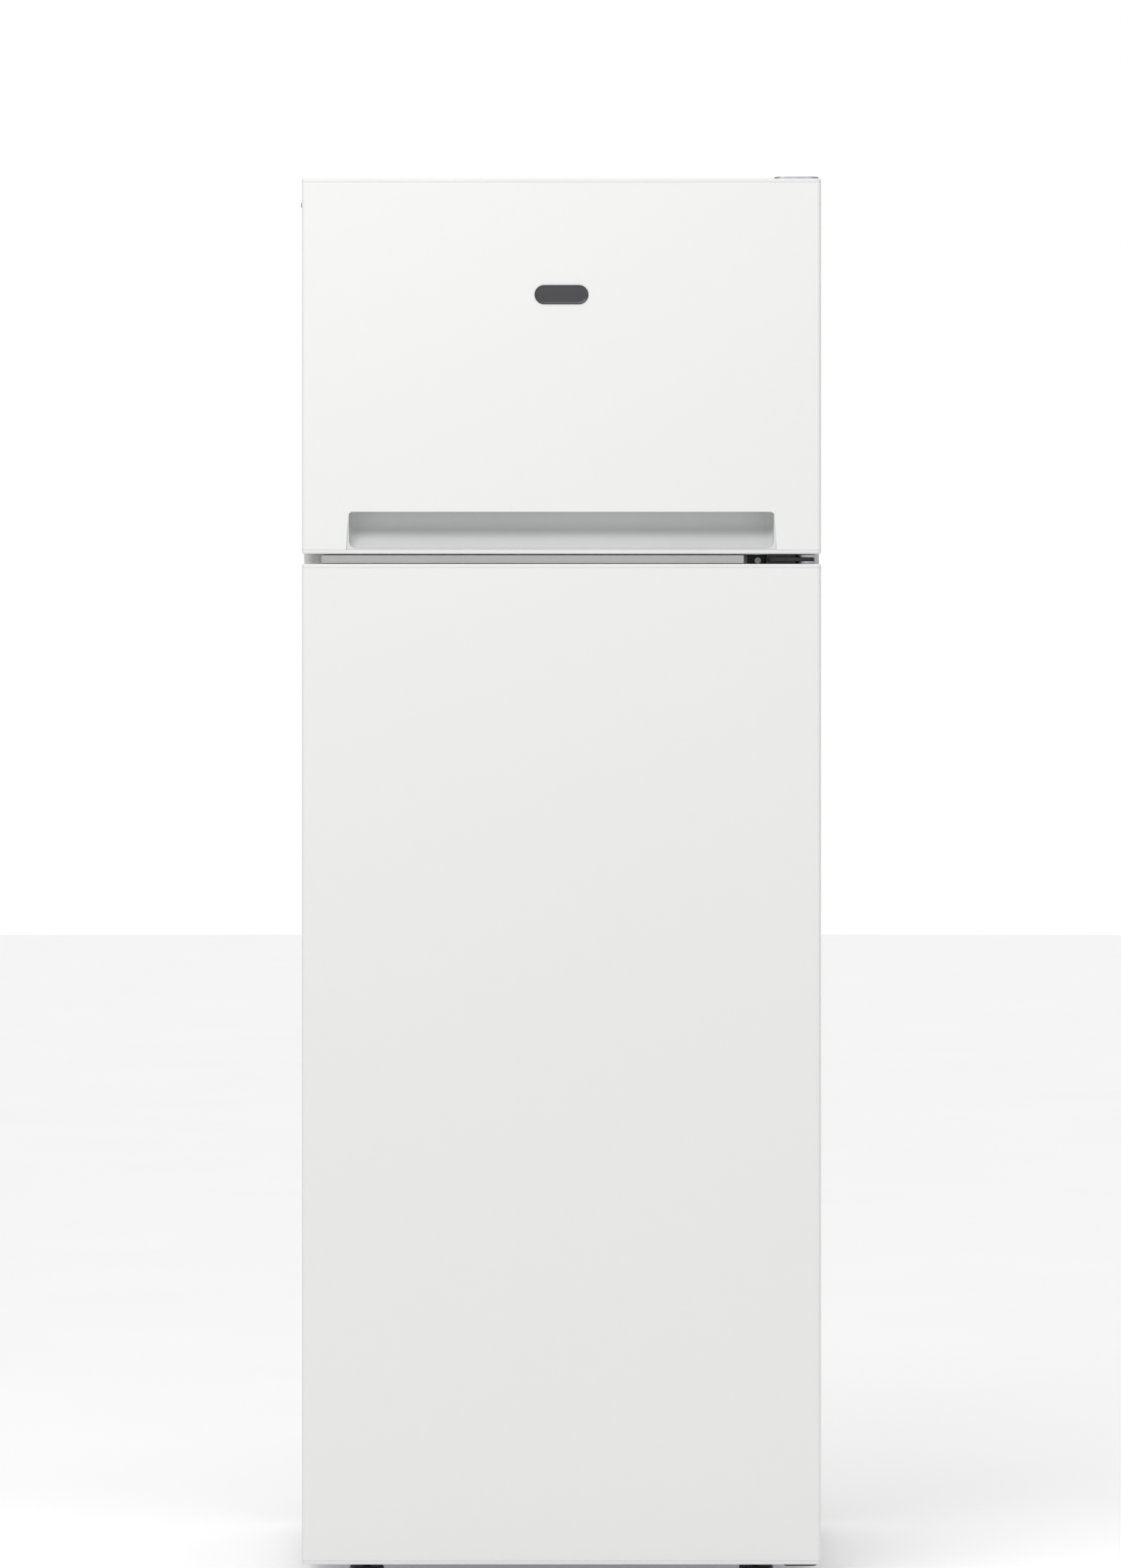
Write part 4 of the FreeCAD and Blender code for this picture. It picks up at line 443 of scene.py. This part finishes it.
def make_knob():
    """Fluted thermostat knob with a dished face, a raised grip bar and a pointer."""
    low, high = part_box("thermostat_knob")
    middle, half = middle_and_half(low, high)
    middle_x, middle_z = middle[0], middle[2]
    radius = half[0]
    body_depth = 11 * MM
    face = low[1]
    back = face + body_depth
    flutes = 30
    flute_depth = 0.9 * MM
    around = flutes * 6
    shaft_radius = 3 * MM
    shaft_sides = 24
    bm = bmesh.new()

    def ring(size, y, depth=0.0):
        points = []
        for i in range(around):
            angle = math.tau * i / around
            reach = size - depth * (0.5 + 0.5 * math.cos(angle * flutes))
            points.append((middle_x + reach * math.sin(angle), y,
                           middle_z + reach * math.cos(angle)))
        return points

    def raise_mark(outline, up, levels):
        """Loft an outline, placed above the knob's middle, through (scale, y) levels."""
        loft(bm, [[(middle_x + u * scale, y, middle_z + up + v * scale) for u, v in outline]
                  for scale, y in levels])

    loft(bm, [ring(radius * 0.97, back), ring(radius, back - 0.8 * MM),
              ring(radius, back - 2.0 * MM), ring(radius * 0.93, back - 2.6 * MM),
              ring(radius * 0.92, back - 3.0 * MM, flute_depth),
              ring(radius * 0.86, face + 1.2 * MM, flute_depth),
              ring(radius * 0.80, face + 0.2 * MM, 0.3 * MM), ring(radius * 0.76, face),
              ring(radius * 0.70, face + 0.5 * MM), ring(radius * 0.30, face + 0.9 * MM)])
    shaft = []
    for i in range(shaft_sides):
        angle = math.tau * i / shaft_sides
        shaft.append((middle_x + shaft_radius * math.cos(angle),
                      middle_z + shaft_radius * math.sin(angle)))
    loft(bm, [[(x, y, z) for x, z in shaft] for y in (back - 0.5 * MM, high[1])])
    bar = rounded_loop(1.9 * MM, radius * 0.62, 1.8 * MM, steps=4)
    raise_mark(bar, 0,
               ((1.1, face + 1.2 * MM), (1.0, face + 0.2 * MM), (0.8, face)))
    pointer = rounded_loop(0.8 * MM, 1.8 * MM, 0.7 * MM, steps=3)
    raise_mark(pointer, radius * 0.74,
               ((1.2, face + 1.0 * MM), (1.0, face + 0.1 * MM), (0.8, face)))
    knob = new_piece("thermostat_dial", bm, "thermostat_knob", "grey_plastic")
    shade_by_angle(knob)
    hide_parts("thermostat_knob")


def make_dial_scale():
    """Ticks moulded round the knob that grow towards the coldest setting."""
    low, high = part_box("thermostat_knob")
    middle, _ = middle_and_half(low, high)
    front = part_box("control_box")[0][1]
    ticks = 7
    first_angle = -135
    sweep = 270
    tick_radius = 18.9 * MM
    bm = bmesh.new()
    for i in range(ticks):
        angle = math.radians(first_angle + sweep * i / (ticks - 1))
        half_wide = (0.35 + 0.09 * i) * MM
        half_tall = (0.9 + 0.18 * i) * MM
        outline = rounded_loop(half_wide, half_tall, half_wide * 0.8, steps=3)
        rings = []
        for lift, scale in ((-0.2, 1.0), (0.2, 1.0), (0.3, 0.8)):
            ring = []
            for u, v in outline:
                reach = tick_radius + v * scale
                side = u * scale
                ring.append((middle[0] + reach * math.sin(angle) + side * math.cos(angle),
                             front - lift * MM,
                             middle[2] + reach * math.cos(angle) - side * math.sin(angle)))
            rings.append(ring)
        loft(bm, rings)
    new_piece("dial_scale", bm, "cabinet", "grey_plastic")


def make_shelf_trims():
    """Moulded edge profiles of the glass shelves: a rolled nose at the front, a clip behind."""
    deepest_clip = 7 * MM
    end_round = 0.6 * MM
    end_scale = 0.93
    bm = bmesh.new()
    for (x0, y0, z0), (x1, y1, z1) in solids_of("shelf_trims"):
        deep = y1 - y0
        tall = z1 - z0
        profile = NOSE_PROFILE if deep > deepest_clip else CLIP_PROFILE
        rings = []
        for x, scale in ((x0, end_scale), (x0 + end_round, 1.0), (x1 - end_round, 1.0),
                         (x1, end_scale)):
            rings.append([(x, y0 + deep * (0.5 + (u - 0.5) * scale),
                           z0 + tall * (0.5 + (v - 0.5) * scale)) for u, v in profile])
        loft(bm, rings)
    trims = new_piece("shelf_edge_profiles", bm, "cabinet", "white_plastic")
    shade_by_angle(trims)
    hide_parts("shelf_trims")


def make_case_belt():
    """Weld belt round the compressor case, with its stamped lip."""
    low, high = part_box("compressor_case")
    middle, half = middle_and_half(low, high)
    seam = 100 * MM
    corner_mm = 54
    rings = []
    for out, up in BELT_PROFILE:
        loop = rounded_loop(half[0] + out * MM, half[1] + out * MM, (corner_mm + out) * MM,
                            steps=14)
        rings.append([(middle[0] + u, middle[1] + v, seam + up * MM) for u, v in loop])
    bm = bmesh.new()
    loft_around(bm, rings)
    belt = new_piece("compressor_weld_belt", bm, "cabinet", "black_paint")
    shade_by_angle(belt, 50)


# ------------------------------------------------------------ studio

def make_floor():
    """Large pale studio floor, just under the feet."""
    radii = (0.9, 2.0, 4.0, 9.0, 30.0)
    sides = 48
    level = -0.5 * MM
    rings = [[(radius * math.cos(math.tau * i / sides), radius * math.sin(math.tau * i / sides),
               level) for i in range(sides)] for radius in radii]
    bm = bmesh.new()
    made = stack_rings(bm, rings)
    bm.faces.new(made[0])
    mesh = bpy.data.meshes.new("studio_floor")
    bm.to_mesh(mesh)
    bm.free()
    floor = bpy.data.objects.new("studio_floor", mesh)
    bpy.context.scene.collection.objects.link(floor)
    kit = Kit("studio_floor", Roughness=0.9, Specular_IOR_Level=0.1, Emission_Strength=0.14)
    kit.shader.inputs["Emission Color"].default_value = (1, 1, 1, 1)
    kit.colours(kit.noise(2), [(0.3, (0.93, 0.93, 0.93)), (0.7, (0.95, 0.95, 0.95))])
    floor.data.materials.append(kit.material)


def make_camera():
    """Straight-on view from far enough away to look almost parallel."""
    distance = 7.0
    door_front = -0.300
    middle_x = -0.001
    middle_z = 0.832
    frame_width = 1.1655
    sensor = 36
    camera = bpy.data.objects.new("camera", bpy.data.cameras.new("camera"))
    camera.data.sensor_fit = "HORIZONTAL"
    camera.data.sensor_width = sensor
    camera.data.lens = sensor * distance / frame_width
    camera.location = (middle_x, door_front - distance, middle_z)
    camera.rotation_euler = (math.radians(90), 0, 0)
    camera.data.clip_end = 100
    bpy.context.scene.collection.objects.link(camera)
    bpy.context.scene.camera = camera


def add_light(name, place, aim, width, height, watts):
    """Rectangular lamp at a place, turned towards the point it aims at."""
    lamp = bpy.data.lights.new(name, "AREA")
    lamp.shape = "RECTANGLE"
    lamp.size = width
    lamp.size_y = height
    lamp.energy = watts
    holder = bpy.data.objects.new(name, lamp)
    holder.location = place
    way = Vector(aim) - Vector(place)
    holder.rotation_euler = way.to_track_quat("-Z", "Y").to_euler()
    bpy.context.scene.collection.objects.link(holder)


def make_world():
    """White surroundings that fade to a lower strength towards the two sides."""
    fade_start = 0.25
    fade_end = 0.95
    world = bpy.data.worlds.new("studio")
    world.use_nodes = True
    tree = world.node_tree
    way = tree.nodes.new("ShaderNodeTexCoord")
    split = tree.nodes.new("ShaderNodeSeparateXYZ")
    size = tree.nodes.new("ShaderNodeMath")
    size.operation = "ABSOLUTE"
    shade = tree.nodes.new("ShaderNodeMapRange")
    shade.interpolation_type = "SMOOTHSTEP"
    shade.inputs["From Min"].default_value = fade_start
    shade.inputs["From Max"].default_value = fade_end
    shade.inputs["To Min"].default_value = 1.0
    shade.inputs["To Max"].default_value = SIDE_WALL_LIGHT
    tree.links.new(way.outputs["Generated"], split.inputs["Vector"])
    tree.links.new(split.outputs["X"], size.inputs[0])
    tree.links.new(size.outputs["Value"], shade.inputs["Value"])
    tree.links.new(shade.outputs["Result"], tree.nodes["Background"].inputs["Strength"])
    tree.nodes["Background"].inputs["Color"].default_value = (1, 1, 1, 1)
    bpy.context.scene.world = world


def make_light():
    """Surroundings and one soft lamp above and to the left of the front."""
    bpy.context.scene.view_settings.view_transform = "Standard"
    make_world()
    add_light("key", place=(-0.7, -1.9, 2.7), aim=(0, -0.3, 1.35), width=1.4, height=1.0,
              watts=22)


dress_frame()
make_badge()
for door_name in ("freezer_door", "fridge_door"):
    make_seal(door_name)
make_knob()
make_dial_scale()
make_shelf_trims()
make_case_belt()
make_floor()
make_camera()
make_light()
